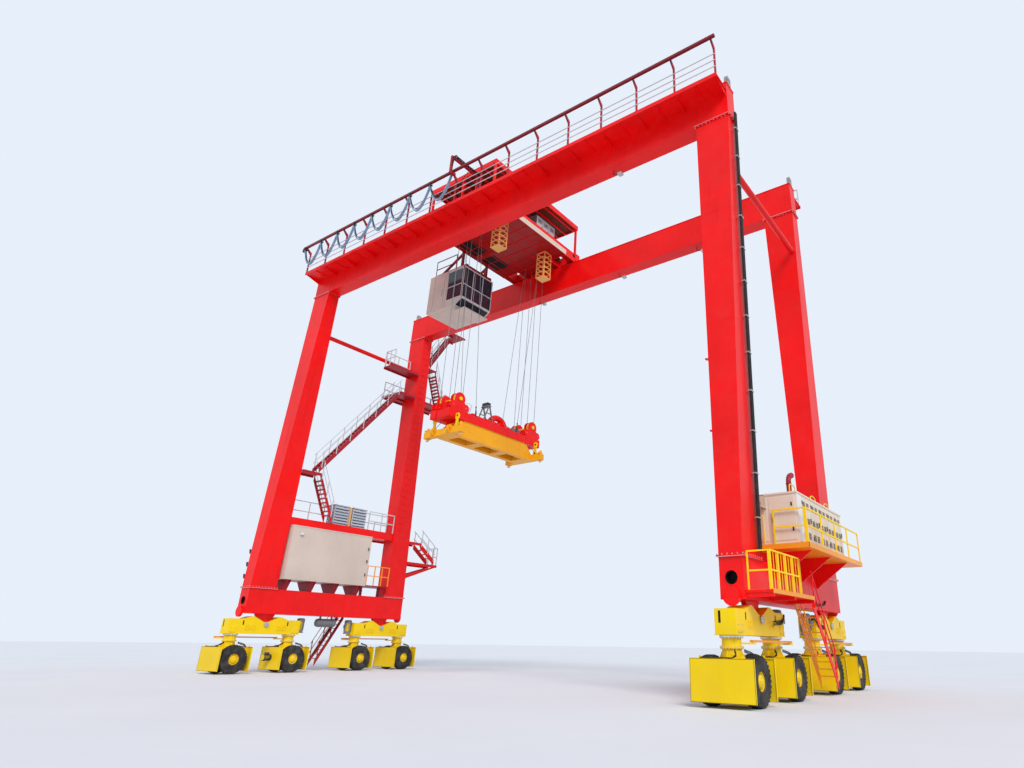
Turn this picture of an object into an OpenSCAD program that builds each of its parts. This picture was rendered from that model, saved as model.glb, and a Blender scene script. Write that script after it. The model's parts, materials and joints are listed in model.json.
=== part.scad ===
// Rubber tyred gantry crane for a container yard, sixteen tyres, at its real size.
// X runs along the main girders, Y along the way the gantry travels, Z is up.
// The origin is on the ground, in the middle of the crane's plan.

/* [Portal] */
// Span from leg centre to leg centre
span = 26500; // [22000:100:30000]
// Distance between the centres of the two main girders
girder_gauge = 7510; // [6800:10:8400]
// Width of a main girder
girder_w = 700; // [600:10:900]
// Depth of a main girder
girder_depth = 1680; // [1400:10:1900]
// Height of the girders' underside above the ground
girder_underside = 21240; // [20800:10:22500]
// How far a girder's flange plates stand out past its webs
girder_flange_lip = 25; // [15:5:40]
// Thickness of a girder's flange plates
girder_flange_t = 30; // [20:5:40]
// Width of a leg along the span, at its top
leg_top_x = 1440; // [1200:10:1600]
// Width of a leg along the span, at its foot
leg_foot_x = 760; // [700:10:900]
// Depth of a leg along the travel, at its foot
leg_foot_y = 1385; // [1200:5:1500]
// Thickness of the bolted flange at each end of a leg
leg_flange_t = 50; // [30:5:80]
// How far the bolted flanges stand out
leg_flange_lip = 60; // [30:5:80]

/* [Sill beams] */
// Height of the sill beams' underside
sill_bottom = 2750; // [2700:10:2900]
// Depth of a sill beam
sill_depth = 1200; // [1000:10:1400]
// Radius of the round hole in each end of a sill beam
sill_hole_r = 200; // [120:10:240]
// Radius of the round buffer disc below each sill end
buffer_r = 260; // [180:10:300]
// Depth of the cross beam between the left legs
cross_beam_d = 430; // [300:10:500]
// Width of that cross beam
cross_beam_w = 760; // [600:10:900]
// Height of that cross beam's top
cross_beam_top = 7700; // [7500:10:7900]
// Radius of the tie tubes between the legs, high up
tie_r = 130; // [80:5:160]
// Height of the tie tubes
tie_z = 18950; // [18700:10:19050]

/* [Running gear] */
// Distance between the centres of the two bogies of one side
bogie_pitch = 7060; // [6800:10:7400]
// Distance between the two wheel units of a bogie
unit_pitch = 3020; // [2900:10:3200]
// Radius of a tyre
tyre_r = 645; // [600:5:680]
// Width of a tyre
tyre_w = 380; // [330:10:400]
// Distance between the centres of a wheel unit's two tyres
tyre_track = 1320; // [1250:10:1360]
// Width of an equalizer beam
equalizer_w = 640; // [560:10:700]
// Height of the pivot pin of an equalizer beam
equalizer_pin_z = 2240; // [2200:10:2300]
// Radius of that pivot pin
equalizer_pin_r = 90; // [60:5:110]
// Radius of a wheel unit's king post
king_post_r = 270; // [220:10:300]
// Height of the equalizer's underside, where the king posts turn
king_post_top = 1790; // [1740:10:1850]
// Width of a guard plate
guard_w = 1860; // [1800:10:1900]
// Height of a guard plate
guard_h = 1070; // [900:10:1100]
// Height of a guard plate's lower edge above the ground
guard_bottom = 130; // [100:10:200]
// Distance from a wheel unit's centre to the face of its guard plates
guard_reach = 760; // [740:10:800]

/* [Trolley] */
// Where the hoist's centre stands along the span
trolley_x = -2000; // [-4000:100:2000]
// Length of the trolley along the span
trolley_len = 5000; // [4600:100:5400]
// Height of a trolley rail
rail_h = 120; // [90:5:150]
// Height of the trolley deck's underside above the girders
deck_lift = 80; // [60:10:150]
// Thickness of the trolley deck
deck_t = 250; // [200:10:300]
// Radius of a trolley wheel
trolley_wheel_r = 260; // [220:10:300]
// Height of the roof above the machinery deck
roof_rise = 2250; // [2000:50:2500]
// Thickness of the roof's edge
roof_t = 160; // [100:10:200]
// Length of the cab along the span
cab_len = 2850; // [2600:50:3000]
// Width of the cab
cab_w = 2360; // [2100:20:2500]
// Height of the cab
cab_h = 2450; // [2300:10:2550]
// Height of the cab's floor above the ground
cab_floor_z = 19350; // [19200:10:19450]
// Gap along the span from the hoist's centre to the cab's front
cab_gap = 1950; // [1700:50:2200]

/* [Spreader] */
// Height of the twistlocks' lower ends above the ground
twistlock_z = 10500; // [8000:100:12000]
// Distance between twistlocks along the spreader
lock_pitch_y = 5853; // [5853:1:5853]
// Distance between twistlocks across the spreader
lock_pitch_x = 2259; // [2259:1:2259]
// Radius of a hoist sheave
sheave_r = 260; // [220:10:300]
// Gap between the outermost hoist ropes and the girders' sides
rope_clearance = 417; // [350:1:470]
// Radius of a hoist rope
rope_r = 14; // [10:1:18]

/* [Houses and walkways] */
// Length of the electric house on the left side
electric_len = 5000; // [4500:50:5400]
// Height of the electric house
electric_h = 2800; // [2500:50:2850]
// Width of the electric house
electric_w = 1500; // [1300:50:1600]
// Length of the power house on the right side
power_len = 5000; // [4500:50:5400]
// Height of the power house
power_h = 1650; // [1500:50:1900]
// Width of the power house
power_w = 2000; // [1800:50:2100]
// Width of the walkway on the near girder
walkway_w = 940; // [800:10:1000]
// Height of the walkway's underside below the girder's top
walkway_drop = 470; // [400:10:500]
// Height of guard rails
rail_post_h = 1100; // [1000:10:1150]
// Height of the festoon track above the walkway
festoon_h = 1750; // [1600:10:1850]
// Width of a stair flight
stair_w = 700; // [600:10:800]
// Rise of one stair step
step_rise = 220; // [180:10:260]
// Thickness of the landings' decks
landing_t = 60; // [40:5:100]

/* [Hidden] */

red = [0.90, 0.05, 0.06];
dark_red = [0.50, 0.06, 0.09];
yellow = [1.0, 0.80, 0.05];
orange = [0.98, 0.62, 0.08];
beige = [0.83, 0.78, 0.73];
grey = [0.55, 0.57, 0.60];
black = [0.06, 0.06, 0.07];
steel = [0.45, 0.45, 0.47];
glass = [0.25, 0.30, 0.33];

// Derived heights and lengths
girder_top = girder_underside + girder_depth;
girder_len = span + leg_top_x;
inner_web_y = girder_gauge / 2 - girder_w / 2;
outer_web_y = girder_gauge / 2 + girder_w / 2;
sill_top = sill_bottom + sill_depth;
sheave_pitch = 2 * (inner_web_y - rope_clearance - sheave_r - 2 * rope_r);
sill_end_y = inner_web_y + leg_foot_y;
rail_top = girder_top + rail_h;
deck_bottom = girder_top + deck_lift;
deck_top = deck_bottom + deck_t;
walk_z = girder_top - walkway_drop;

// Gaps between pieces that move past each other
seat_gap = 0.3;
running_gap = 0.05;

// The four corners: sign along X, then sign along Y
corners = [[1, -1], [1, 1], [-1, -1], [-1, 1]];

// A box from its lowest corner to its highest
module block(lo, hi) {
    translate(lo) cube([hi[0] - lo[0], hi[1] - lo[1], hi[2] - lo[2]]);
}

// A straight square bar from point a to point b that both lie in one plane across X
module bar_yz(x, a, b, w, d) {
    run = b[0] - a[0];
    rise = b[1] - a[1];
    len = sqrt(run * run + rise * rise);
    translate([x, a[0], a[1]]) rotate([atan2(rise, run), 0, 0])
        translate([-w / 2, 0, -d / 2]) cube([w, len, d]);
}

// The same for a bar that lies in a plane across Y
module bar_xz(y, a, b, w, d) {
    run = b[0] - a[0];
    rise = b[1] - a[1];
    len = sqrt(run * run + rise * rise);
    translate([a[0], y, a[1]]) rotate([0, -atan2(rise, run), 0])
        translate([0, -w / 2, -d / 2]) cube([len, w, d]);
}

// A box girder with flange plates that stand out a little
module girder(s) {
    color(red) translate([0, s * girder_gauge / 2, 0]) {
        block([-girder_len / 2, -girder_w / 2, girder_underside],
              [girder_len / 2, girder_w / 2, girder_top]);
        for (z = [girder_underside, girder_top - girder_flange_t])
            block([-girder_len / 2 - girder_flange_lip, -girder_w / 2 - girder_flange_lip, z],
                  [girder_len / 2 + girder_flange_lip, girder_w / 2 + girder_flange_lip,
                   z + girder_flange_t]);
    }
}

// A leg that is broad along the span at its top and broad along the travel at its foot
module leg(sx, sy) {
    foot = sill_top;
    head = girder_underside;
    color(red) {
        intersection() {
            translate([sx * span / 2, sy * sill_end_y / 2, 0]) rotate([90, 0, 0])
                linear_extrude(sill_end_y * 2, center = true)
                    polygon([[-leg_foot_x / 2, foot], [leg_foot_x / 2, foot],
                             [leg_top_x / 2, head], [-leg_top_x / 2, head]]);
            translate([sx * span / 2, 0, 0]) rotate([90, 0, 90])
                linear_extrude(leg_top_x * 2, center = true)
                    polygon([[sy * inner_web_y, foot], [sy * sill_end_y, foot],
                             [sy * outer_web_y, head], [sy * inner_web_y, head]]);
        }
        leg_flange(sx, sy, foot, leg_foot_x, sill_end_y);
        leg_flange(sx, sy, head - leg_flange_t, leg_top_x, outer_web_y);
    }
}

// Bolted flange plate around a leg's end
module leg_flange(sx, sy, z, wx, outer_y) {
    y0 = inner_web_y - leg_flange_lip;
    y1 = outer_y + leg_flange_lip;
    block([sx * span / 2 - wx / 2 - leg_flange_lip, min(sy * y0, sy * y1), z],
          [sx * span / 2 + wx / 2 + leg_flange_lip, max(sy * y0, sy * y1), z + leg_flange_t]);
}

// A sill beam with a round hole and a buffer disc at each end, and the lugs that carry the bogies
module sill(sx) {
    hole_z = sill_bottom + sill_depth / 2;
    buffer_t = 120;
    color(red) translate([sx * span / 2, 0, 0]) {
        difference() {
            block([-leg_foot_x / 2, -sill_end_y, sill_bottom], [leg_foot_x / 2, sill_end_y, sill_top]);
            for (s = [-1, 1])
                translate([0, s * sill_end_y, hole_z]) rotate([s * -90, 0, 0])
                    translate([0, 0, -300]) cylinder(r = sill_hole_r, h = 301, $fn = 48);
        }
        for (s = [-1, 1])
            translate([0, s * (sill_end_y + buffer_t / 2), sill_bottom + 80]) rotate([90, 0, 0])
                cylinder(r = buffer_r, h = buffer_t, center = true, $fn = 48);
        for (s = [-1, 1]) bogie_lug(s);
    }
}

// Half widths of the lug and of the slot that it hangs in
lug_t = 160;
slot_t = lug_t + 20;

// A triangular lug with its pin, under a sill beam
module bogie_lug(s) {
    lug_top_y = 520;
    lug_tip_y = 190;
    translate([0, s * bogie_pitch / 2, 0]) {
        rotate([90, 0, 90]) linear_extrude(lug_t, center = true)
            polygon([[-lug_top_y, sill_bottom - seat_gap], [lug_top_y, sill_bottom - seat_gap],
                     [lug_tip_y, equalizer_pin_z - 150], [-lug_tip_y, equalizer_pin_z - 150]]);
        translate([0, 0, equalizer_pin_z]) rotate([0, 90, 0])
            cylinder(r = equalizer_pin_r, h = equalizer_w + 60, center = true, $fn = 40);
    }
}

// Cross beam between the left legs, above the electric house
module left_cross_beam() {
    color(red)
        block([-span / 2 - cross_beam_w / 2, -inner_web_y, cross_beam_top - cross_beam_d],
              [-span / 2 + cross_beam_w / 2, inner_web_y, cross_beam_top]);
}

// One tie tube on the outer side of each pair of legs
module side_ties() {
    tie_x = span / 2 + 480;
    color(dark_red) for (s = [-1, 1])
        translate([s * tie_x, 0, tie_z]) rotate([90, 0, 0])
            cylinder(r = tie_r, h = 2 * inner_web_y, center = true, $fn = 32);
}

// Crane rails on the girders, with an end stop at each end
module trolley_rails() {
    rail_w = 90;
    stop_w = 300;
    stop_h = 400;
    stop_t = 160;
    color(steel) for (sy = [-1, 1]) translate([0, sy * girder_gauge / 2, 0]) {
        block([-girder_len / 2, -rail_w / 2, girder_top], [girder_len / 2, rail_w / 2, rail_top]);
        for (sx = [-1, 1])
            translate([sx * (girder_len / 2 - stop_t / 2), 0, rail_top + seat_gap + stop_h / 2])
                cube([stop_t, stop_w, stop_h], center = true);
    }
}

walk_t = 50;
post_count = 16;
function post_x(i) = -girder_len / 2 + 60 + i * (girder_len - 120) / (post_count - 1);

// Outer walkways on both girders, each with a bracket below every post
module girder_walkways() {
    bracket_d = 260;
    bracket_t = 12;
    color(red) for (s = [-1, 1]) {
        y0 = outer_web_y;
        y1 = outer_web_y + walkway_w;
        block([-girder_len / 2, min(s * y0, s * y1), walk_z],
              [girder_len / 2, max(s * y0, s * y1), walk_z + walk_t]);
        for (i = [0 : post_count - 1])
            translate([post_x(i), 0, 0]) rotate([90, 0, 90])
                linear_extrude(bracket_t, center = true)
                    polygon([[s * y0, walk_z - seat_gap], [s * y1, walk_z - seat_gap], [s * y0, walk_z - bracket_d]]);
    }
}

festoon_y = outer_web_y + walkway_w + 330;
festoon_z = walk_z + walk_t + festoon_h;
track_w = 120;
track_bottom = festoon_z - track_w;

// Bent posts on the near walkway under the festoon track, three thin rails, and the cable's fixed bracket
module festoon_track() {
    post_w = 70;
    thin_w = 30;
    bend_z = track_bottom - 280;
    base_y = -(outer_web_y + walkway_w - post_w / 2);
    track_side = -festoon_y + track_w / 2 + seat_gap;
    thin_y = base_y - post_w / 2 - seat_gap - thin_w / 2;
    bracket_x = loop_start_x - 200;
    color(dark_red) {
        for (i = [0 : post_count - 1]) translate([post_x(i), 0, 0]) rotate([90, 0, 90])
            linear_extrude(post_w, center = true)
                polygon([[base_y - post_w / 2, walk_z + walk_t], [base_y + post_w / 2, walk_z + walk_t],
                         [base_y + post_w / 2, bend_z + 150], [track_side, festoon_z],
                         [track_side, track_bottom + 20], [base_y - post_w / 2, bend_z]]);
        block([-girder_len / 2 - 150, -festoon_y - track_w / 2, track_bottom],
              [girder_len / 2 + 150, -festoon_y + track_w / 2, festoon_z]);
        block([bracket_x, -festoon_y - 90, cable_z - 90],
              [bracket_x + 100 - seat_gap, -festoon_y + 90, track_bottom - seat_gap]);
        for (z = [420, 760, rail_post_h])
            block([post_x(0) - post_w / 2, thin_y - thin_w / 2, walk_z + walk_t + z - thin_w / 2],
                  [post_x(post_count - 1) + post_w / 2, thin_y + thin_w / 2, walk_z + walk_t + z + thin_w / 2]);
    }
}

// The towing arm reaches over the track and holds the cable's moving end
arm_x = trolley_x + 1250;
arm_y = festoon_y + 230;
loop_count = 8;
loop_drop = 1300;
loop_start_x = -girder_len / 2 + 60;
arm_t = 120;
loop_pitch = (arm_x - arm_t / 2 - 100 - loop_start_x) / loop_count;
cable_t = 50;
cable_w = 150;
cable_z = festoon_z - 240;
loop_steps = 9;

// Height of the cable along a loop, as a parabola that hangs from one carrier to the next
function loop_z(t) = cable_z - loop_drop * 4 * t * (1 - t);
function cable_path() = concat([[loop_start_x - 100, cable_z]],
    [for (k = [0 : loop_count * loop_steps])
        [loop_start_x + loop_pitch * k / loop_steps, loop_z((k % loop_steps) / loop_steps)]],
    [[arm_x - arm_t / 2 - seat_gap, cable_z]]);

// A flat ribbon with rings of four corners along the path
module ribbon(path, t, w) {
    n = len(path);
    function side(i) = let(a = path[max(i - 1, 0)], b = path[min(i + 1, n - 1)],
                           d = [b[0] - a[0], b[1] - a[1]], l = norm(d)) [-d[1] / l, d[0] / l];
    pts = [for (i = [0 : n - 1]) let(s = side(i)) each [
        [path[i][0] + s[0] * t / 2, -w / 2, path[i][1] + s[1] * t / 2],
        [path[i][0] + s[0] * t / 2, w / 2, path[i][1] + s[1] * t / 2],
        [path[i][0] - s[0] * t / 2, w / 2, path[i][1] - s[1] * t / 2],
        [path[i][0] - s[0] * t / 2, -w / 2, path[i][1] - s[1] * t / 2]]];
    faces = concat([[3, 2, 1, 0]],
        [for (i = [0 : n - 2], j = [0 : 3]) let(a = 4 * i + j, b = 4 * i + (j + 1) % 4)
            [b, b + 4, a + 4, a]],
        [[4 * n - 4, 4 * n - 3, 4 * n - 2, 4 * n - 1]]);
    polyhedron(points = pts, faces = faces, convexity = 6);
}

// Flat cables that hang in loops from carriers at the track's side, from its left end to the towing arm
module festoon_cable() {
    color([0.45, 0.65, 0.85]) {
        translate([0, -festoon_y, 0]) ribbon(cable_path(), cable_t, cable_w);
        for (k = [0 : loop_count]) translate([loop_start_x + k * loop_pitch, -festoon_y, 0])
            block([-45, -cable_w / 2, cable_z + cable_t / 2 + seat_gap], [45, cable_w / 2, track_bottom - seat_gap]);
    }
}

electric_bottom = cross_beam_top - cross_beam_d - seat_gap - electric_h;
electric_x = -span / 2 - 100;

// Closed housing for the electric gear, hung under the cross beam and carried on trestles
module electric_house() {
    door_w = 700;
    door_h = 1900;
    y0 = -inner_web_y + 105;
    color(beige) {
        block([electric_x - electric_w / 2, y0, electric_bottom],
              [electric_x + electric_w / 2, y0 + electric_len, electric_bottom + electric_h]);
        block([electric_x - door_w / 2, y0 + electric_len, electric_bottom + 60],
              [electric_x + door_w / 2, y0 + electric_len + 30, electric_bottom + 60 + door_h]);
    }
}

// Trestles between the sill beam and the electric house, and the balcony at its door
module house_trestles() {
    top_w = 1300;
    foot_w = 700;
    leg_w = 260;
    y0 = -inner_web_y + 450;
    color(dark_red) for (k = [0 : 3])
        translate([electric_x, y0 + k * (electric_len - 700) / 3, 0]) rotate([90, 0, 0])
            linear_extrude(leg_w, center = true)
                polygon([[100 - foot_w / 2, sill_top], [100 + foot_w / 2, sill_top],
                         [top_w / 2, electric_bottom], [-top_w / 2, electric_bottom]]);
    balcony_y0 = -inner_web_y + 105 + electric_len + 40;
    color(orange) {
        block([electric_x - 500, balcony_y0, electric_bottom], [electric_x + 750, inner_web_y - 60, electric_bottom + 60]);
        for (y = [balcony_y0 + 200, inner_web_y - 260])
            block([-span / 2 - 60, y - 60, sill_top], [-span / 2 + 60, y + 60, electric_bottom]);
    }
}

// Resistor bank on the cross beam: two louvred cases with a post between them
module resistor_bank() {
    case_len = 950;
    case_h = 1100;
    case_w = 600;
    fin_h = 190;
    color(grey) for (y = [-850, 350]) {
        block([-span / 2 - case_w / 2 + 60, y + 30, cross_beam_top],
              [-span / 2 + case_w / 2 - 60, y + case_len - 30, cross_beam_top + case_h - 30]);
        for (k = [0 : 4])
            block([-span / 2 - case_w / 2, y, cross_beam_top + 60 + k * (fin_h + 22)],
                  [-span / 2 + case_w / 2, y + case_len, cross_beam_top + 60 + k * (fin_h + 22) + fin_h - 60]);
    }
    color(beige)
        block([-span / 2 - 250, 150, cross_beam_top], [-span / 2 + 300, 300, cross_beam_top + case_h]);
}

// A bar that slopes in a plane across X, with upright ends: a and b are its lower corners
module sloping(x, a, b, w, h) {
    translate([x, 0, 0]) rotate([90, 0, 90]) linear_extrude(w, center = true)
        polygon([a, b, b + [0, h], a + [0, h]]);
}

stringer_h = 330;

// A stair flight from its foot's lower corner to its head's upper corner: stringers and treads
module flight(x, a, b, w) {
    stringer_t = 30;
    head = b - [0, stringer_h];
    run = head[0] - a[0];
    rise = head[1] - a[1];
    steps = round(rise / step_rise);
    for (s = [-1, 1]) sloping(x + s * (w / 2 - stringer_t / 2), a, head, stringer_t, stringer_h);
    for (k = [1 : steps - 1])
        translate([x, a[0] + run * k / steps, a[1] + stringer_h / 2 + rise * k / steps])
            cube([w - stringer_t, 220, 30], center = true);
}

// The handrails beside a flight, with posts and a knee rail
module flight_rails(x, a, b, w) {
    rail_w = 36;
    head = b - [0, stringer_h];
    run = head[0] - a[0];
    rise = head[1] - a[1];
    posts = max(2, round(rise / 1000));
    for (s = [-1, 1]) translate([s * (w / 2 + seat_gap + rail_w / 2), 0, 0]) {
        for (h = [stair_rail_h, stair_rail_h / 2])
            sloping(x, a + [0, stringer_h / 2 + h], head + [0, stringer_h / 2 + h], rail_w - 6, 50);
        for (k = [0 : posts]) {
            t = (k + 0.15) / (posts + 0.3);
            y = a[0] + run * t;
            z = a[1] + stringer_h / 2 + rise * t;
            translate([x, 0, 0]) block([-rail_w / 2, y - rail_w / 2, z], [rail_w / 2, y + rail_w / 2, z + stair_rail_h + 20]);
        }
    }
}

stair_rail_h = 950;
stair_x = -span / 2 + 250;
outer_stair_x = -span / 2;
landing_1_z = 10300;
landing_2_z = 16800;
landing_3_z = 19300;
cab_landing_z = 18450;
top_landing_z = walk_z + walk_t;
top_strip_x = outer_stair_x + 450;
top_edge_y = 6150;
outer_z = 6150;
outer_top_z = 7400;

// Width of a leg along the span, and the place of its outer face, at a height
function leg_x(z) = leg_foot_x + (leg_top_x - leg_foot_x) * (z - sill_top) / (girder_underside - sill_top);
function leg_face_x(z) = -span / 2 - leg_x(z) / 2 - seat_gap;
function leg_outer_y(z) = sill_end_y + (outer_web_y - sill_end_y) * (z - sill_top) / (girder_underside - sill_top);

// Each left flight: its place along the span, its foot's lower corner and its head's upper corner
left_flights = [
    [stair_x, [-1150, cross_beam_top + seat_gap], [-2250 + seat_gap, landing_1_z]],
    [stair_x, [-2450, landing_1_z + seat_gap], [2200 - seat_gap, landing_2_z]],
    [outer_stair_x, [5900, landing_2_z + seat_gap], [5050 + seat_gap, landing_3_z]],
    [outer_stair_x, [4500, landing_3_z + seat_gap], [top_edge_y - seat_gap, top_landing_z]],
    [outer_stair_x, [6900, outer_z + seat_gap], [5650 + seat_gap, outer_top_z]]];

// Zigzag flights up the left side, with their landings on the legs
module left_stairs() {
    g = seat_gap;
    color(dark_red) for (f = left_flights) flight(f[0], f[1], f[2], stair_w);
    color(red) {
        landing([stair_x - 450, -inner_web_y, landing_1_z], [stair_x + 400, -2250]);
        landing([leg_face_x(landing_2_z), 2200, landing_2_z], [stair_x + 400, inner_web_y]);
        around_leg(landing_2_z, 2200, 6300);
        around_leg(landing_3_z, leg_outer_y(landing_3_z), 5050);
        around_leg(outer_top_z, 2900, 5650);
        landing([stair_x - 600, 1300, cab_landing_z], [stair_x + 450, inner_web_y]);
        landing([outer_stair_x - 400, top_edge_y, top_landing_z], [top_strip_x + 500, top_edge_y + 800]);
        landing([top_strip_x, outer_web_y + walkway_w + g, top_landing_z], [top_strip_x + 500, top_edge_y]);
        outer_bracket();
    }
}

// A deck from its lowest corner to the opposite corner of its plan, with a toe board below its edge
module landing(lo, hi) {
    block([lo[0], lo[1], lo[2] - landing_t], [hi[0], hi[1], lo[2]]);
    for (x = [lo[0], hi[0] - 30]) block([x, lo[1], lo[2] - 160], [x + 30, hi[1], lo[2]]);
}

// A deck round the far left leg, on its outer faces along X and Y
module around_leg(z, y0, y1) {
    face = leg_face_x(z);
    far = leg_outer_y(z - 160) + seat_gap;
    landing([face - 650, y0, z], [face, y1]);
    landing([face - 1, far, z], [outer_stair_x + 400, y1]);
}

// Triangular bracket that carries the outer platform
module outer_bracket() {
    tip_y = 7100;
    face = leg_outer_y(outer_z - 160) + seat_gap;
    landing([outer_stair_x - 450, face, outer_z], [outer_stair_x + 450, tip_y]);
    for (s = [-1, 1]) translate([outer_stair_x + s * 350, 0, 0]) rotate([90, 0, 90])
        linear_extrude(60, center = true)
            polygon([[leg_outer_y(5150) + seat_gap, 5150], [leg_outer_y(5350) + seat_gap, 5350],
                     [tip_y - 60, outer_z - landing_t + 1], [tip_y, outer_z - landing_t + 1],
                     [tip_y, outer_z - landing_t - 60]]);
}

power_x0 = span / 2 - 600;
power_x1 = power_x0 + power_w;
power_z = sill_top + 560;
power_deck_t = 150;
side_walk_z = 3000;

// Closed housing for the engine and generator, with its air hood and bent exhaust pipe
module power_house() {
    pipe_r = 90;
    pipe_h = 650;
    hood_w = 900;
    hood_h = 420;
    color(beige) {
        block([power_x0, -power_len / 2, power_z], [power_x1, power_len / 2, power_z + power_h]);
        translate([power_x0 + 60, -power_len / 2 - seat_gap, power_z + power_h - hood_h - 40]) rotate([90, 0, 90])
            linear_extrude(hood_w)
                polygon([[0, 0], [0, hood_h], [-160, hood_h], [-420, 150], [-420, 0]]);
    }
    color(dark_red) translate([power_x0 + 1300, -power_len / 2 + 1500, power_z + power_h + seat_gap]) {
        cylinder(r = pipe_r, h = pipe_h, $fn = 24);
        translate([0, 320, pipe_h]) rotate([90, 0, -90]) rotate_extrude(angle = 90, $fn = 48)
            translate([320, 0]) circle(r = pipe_r, $fn = 24);
    }
}

power_deck_x1 = power_x1 + 320;
side_walk_x0 = span / 2 + leg_foot_x / 2;
side_walk_x1 = side_walk_x0 + 820;
side_walk_y1 = -1000;

// Deck under the power house on brackets from the sill beam, and the lower side walkway
module power_deck() {
    walk_t = 80;
    bracket_t = 60;
    bracket_top = power_z - power_deck_t - seat_gap;
    color(red) {
        block([power_x0, -power_len / 2 - 150, power_z - power_deck_t],
              [power_deck_x1, power_len / 2 + 150, power_z]);
        block([span / 2 + 650, power_len / 2 + 150, power_z - power_deck_t],
              [power_deck_x1, power_len / 2 + 1150, power_z]);
        for (y = [-2000, 0, 2000]) {
            block([span / 2 - 340, y - 150, sill_top], [span / 2 + 340, y + 150, bracket_top]);
            translate([0, y, 0]) rotate([90, 0, 0]) linear_extrude(bracket_t, center = true)
                polygon([[side_walk_x0, sill_top - 500], [side_walk_x0, sill_top],
                         [span / 2 + 300, sill_top], [span / 2 + 300, bracket_top],
                         [power_deck_x1 - 100, bracket_top]]);
        }
        block([side_walk_x0, -sill_end_y + 100, side_walk_z - walk_t], [side_walk_x1, side_walk_y1, side_walk_z]);
        for (y = [-sill_end_y + 130, -2900, side_walk_y1 - 90])
            block([side_walk_x0, y, side_walk_z - 200], [side_walk_x1, y + 60, side_walk_z - walk_t]);
    }
}

// A run of guard rail along Y: posts, a top rail and a knee rail
module rail_run_y(x, y0, y1, z, pitch) {
    w = 45;
    n = max(2, round((y1 - y0) / pitch) + 1);
    for (i = [0 : n - 1]) {
        y = y0 + w / 2 + (y1 - y0 - w) * i / (n - 1);
        block([x - w / 2, y - w / 2, z], [x + w / 2, y + w / 2, z + rail_post_h]);
    }
    for (h = [rail_post_h, rail_post_h / 2]) block([x - w / 2, y0, z + h - w], [x + w / 2, y1, z + h]);
}

// The same along X
module rail_run_x(y, x0, x1, z, pitch) {
    w = 45;
    n = max(2, round((x1 - x0) / pitch) + 1);
    for (i = [0 : n - 1]) {
        x = x0 + w / 2 + (x1 - x0 - w) * i / (n - 1);
        block([x - w / 2, y - w / 2, z], [x + w / 2, y + w / 2, z + rail_post_h]);
    }
    for (h = [rail_post_h, rail_post_h / 2]) block([x0, y - w / 2, z + h - w], [x1, y + w / 2, z + h]);
}

// Guard rails on the decks, the landings and the far walkway
module guard_rails() {
    face_2 = leg_face_x(landing_2_z);
    face_top = leg_face_x(outer_top_z);
    color(yellow) {
        rail_run_y(power_deck_x1 - 40, -power_len / 2 - 130, power_len / 2 + 1130, power_z, 1500);
        rail_run_x(-power_len / 2 - 110, span / 2 + 600, power_deck_x1 - 65, power_z, 900);
        rail_run_y(side_walk_x1 - 40, -sill_end_y + 120, side_walk_y1 - 1200, side_walk_z, 620);
        rail_run_x(-sill_end_y + 140, side_walk_x0 + 60, side_walk_x1 - 65, side_walk_z, 620);
        rail_run_y(electric_x + 720, -inner_web_y + 150 + electric_len, inner_web_y - 90, electric_bottom + 60, 620);
    }
    color(grey) {
        rail_run_x(outer_web_y + walkway_w - 60, -girder_len / 2 + 40, girder_len / 2 - 40,
                   walk_z + walk_t, 1840);
        rail_run_y(-span / 2 - cross_beam_w / 2 + 40, -inner_web_y + 40, inner_web_y - 40, cross_beam_top, 1300);
        rail_run_y(-span / 2 + cross_beam_w / 2 - 40, 1500, inner_web_y - 40, cross_beam_top, 900);
        rail_run_y(face_2 - 610, 2240, 6260, landing_2_z, 1300);
        rail_run_x(6260, face_2 - 580, outer_stair_x + 360, landing_2_z, 700);
        rail_run_y(face_top - 610, 2940, 5610, outer_top_z, 1300);
        rail_run_x(7060, outer_stair_x - 430, outer_stair_x + 430, outer_z, 430);
        for (f = left_flights) flight_rails(f[0], f[1], f[2], stair_w);
        rail_run_x(1340, stair_x - 580, stair_x + 430, cab_landing_z, 500);
        rail_run_y(stair_x - 560, 1370, inner_web_y - 40, cab_landing_z, 1000);
    }
}

stair_foot_z = 220;

// A narrow flight with its handrails
module stair_pair(x, a, b) {
    flight(x, a, b, 600);
    flight_rails(x, a, b, 600);
}

// Stairs from the ground up to the right walkway and to a step on the left sill beam
module ground_stair() {
    left_x = -span / 2 - leg_foot_x / 2 - 470;
    left_top_y = 1500;
    right_x = side_walk_x0 + 440;
    color(orange)
        stair_pair(right_x, [900, stair_foot_z], [side_walk_y1 + seat_gap, side_walk_z]);
    color(dark_red) {
        stair_pair(left_x, [100, stair_foot_z], [left_top_y - seat_gap, side_walk_z]);
        block([left_x - 350, left_top_y, side_walk_z - 80],
              [-span / 2 - leg_foot_x / 2 - seat_gap, left_top_y + 900, side_walk_z]);
    }
}

// Power and control cables down the outer side of the near right leg
module cable_bundle() {
    bundle_w = 220;
    bundle_t = 120;
    lean = (leg_top_x - leg_foot_x) / 2 / (girder_underside - sill_top);
    x_top = span / 2 + leg_top_x / 2 + leg_flange_lip;
    x_foot = span / 2 + leg_foot_x / 2 + leg_flange_lip;
    reach = bundle_t / 2 + seat_gap + lean * (300 + leg_flange_t);
    color(black)
        bar_xz(-inner_web_y - 250, [x_foot + reach, sill_top + 200],
               [x_top + reach, girder_underside + 300], bundle_w, bundle_t);
}

truck_w = 420;
truck_bottom = rail_top + 120;
truck_top = rail_top + 2 * trolley_wheel_r + 80;
beam_top = truck_top - 60;
trolley_wheel_x = trolley_len / 2 - 500;
trolley_wheel_w = 110;
trolley_axle_r = 45;
deck_edge_y = inner_web_y - 805;

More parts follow.
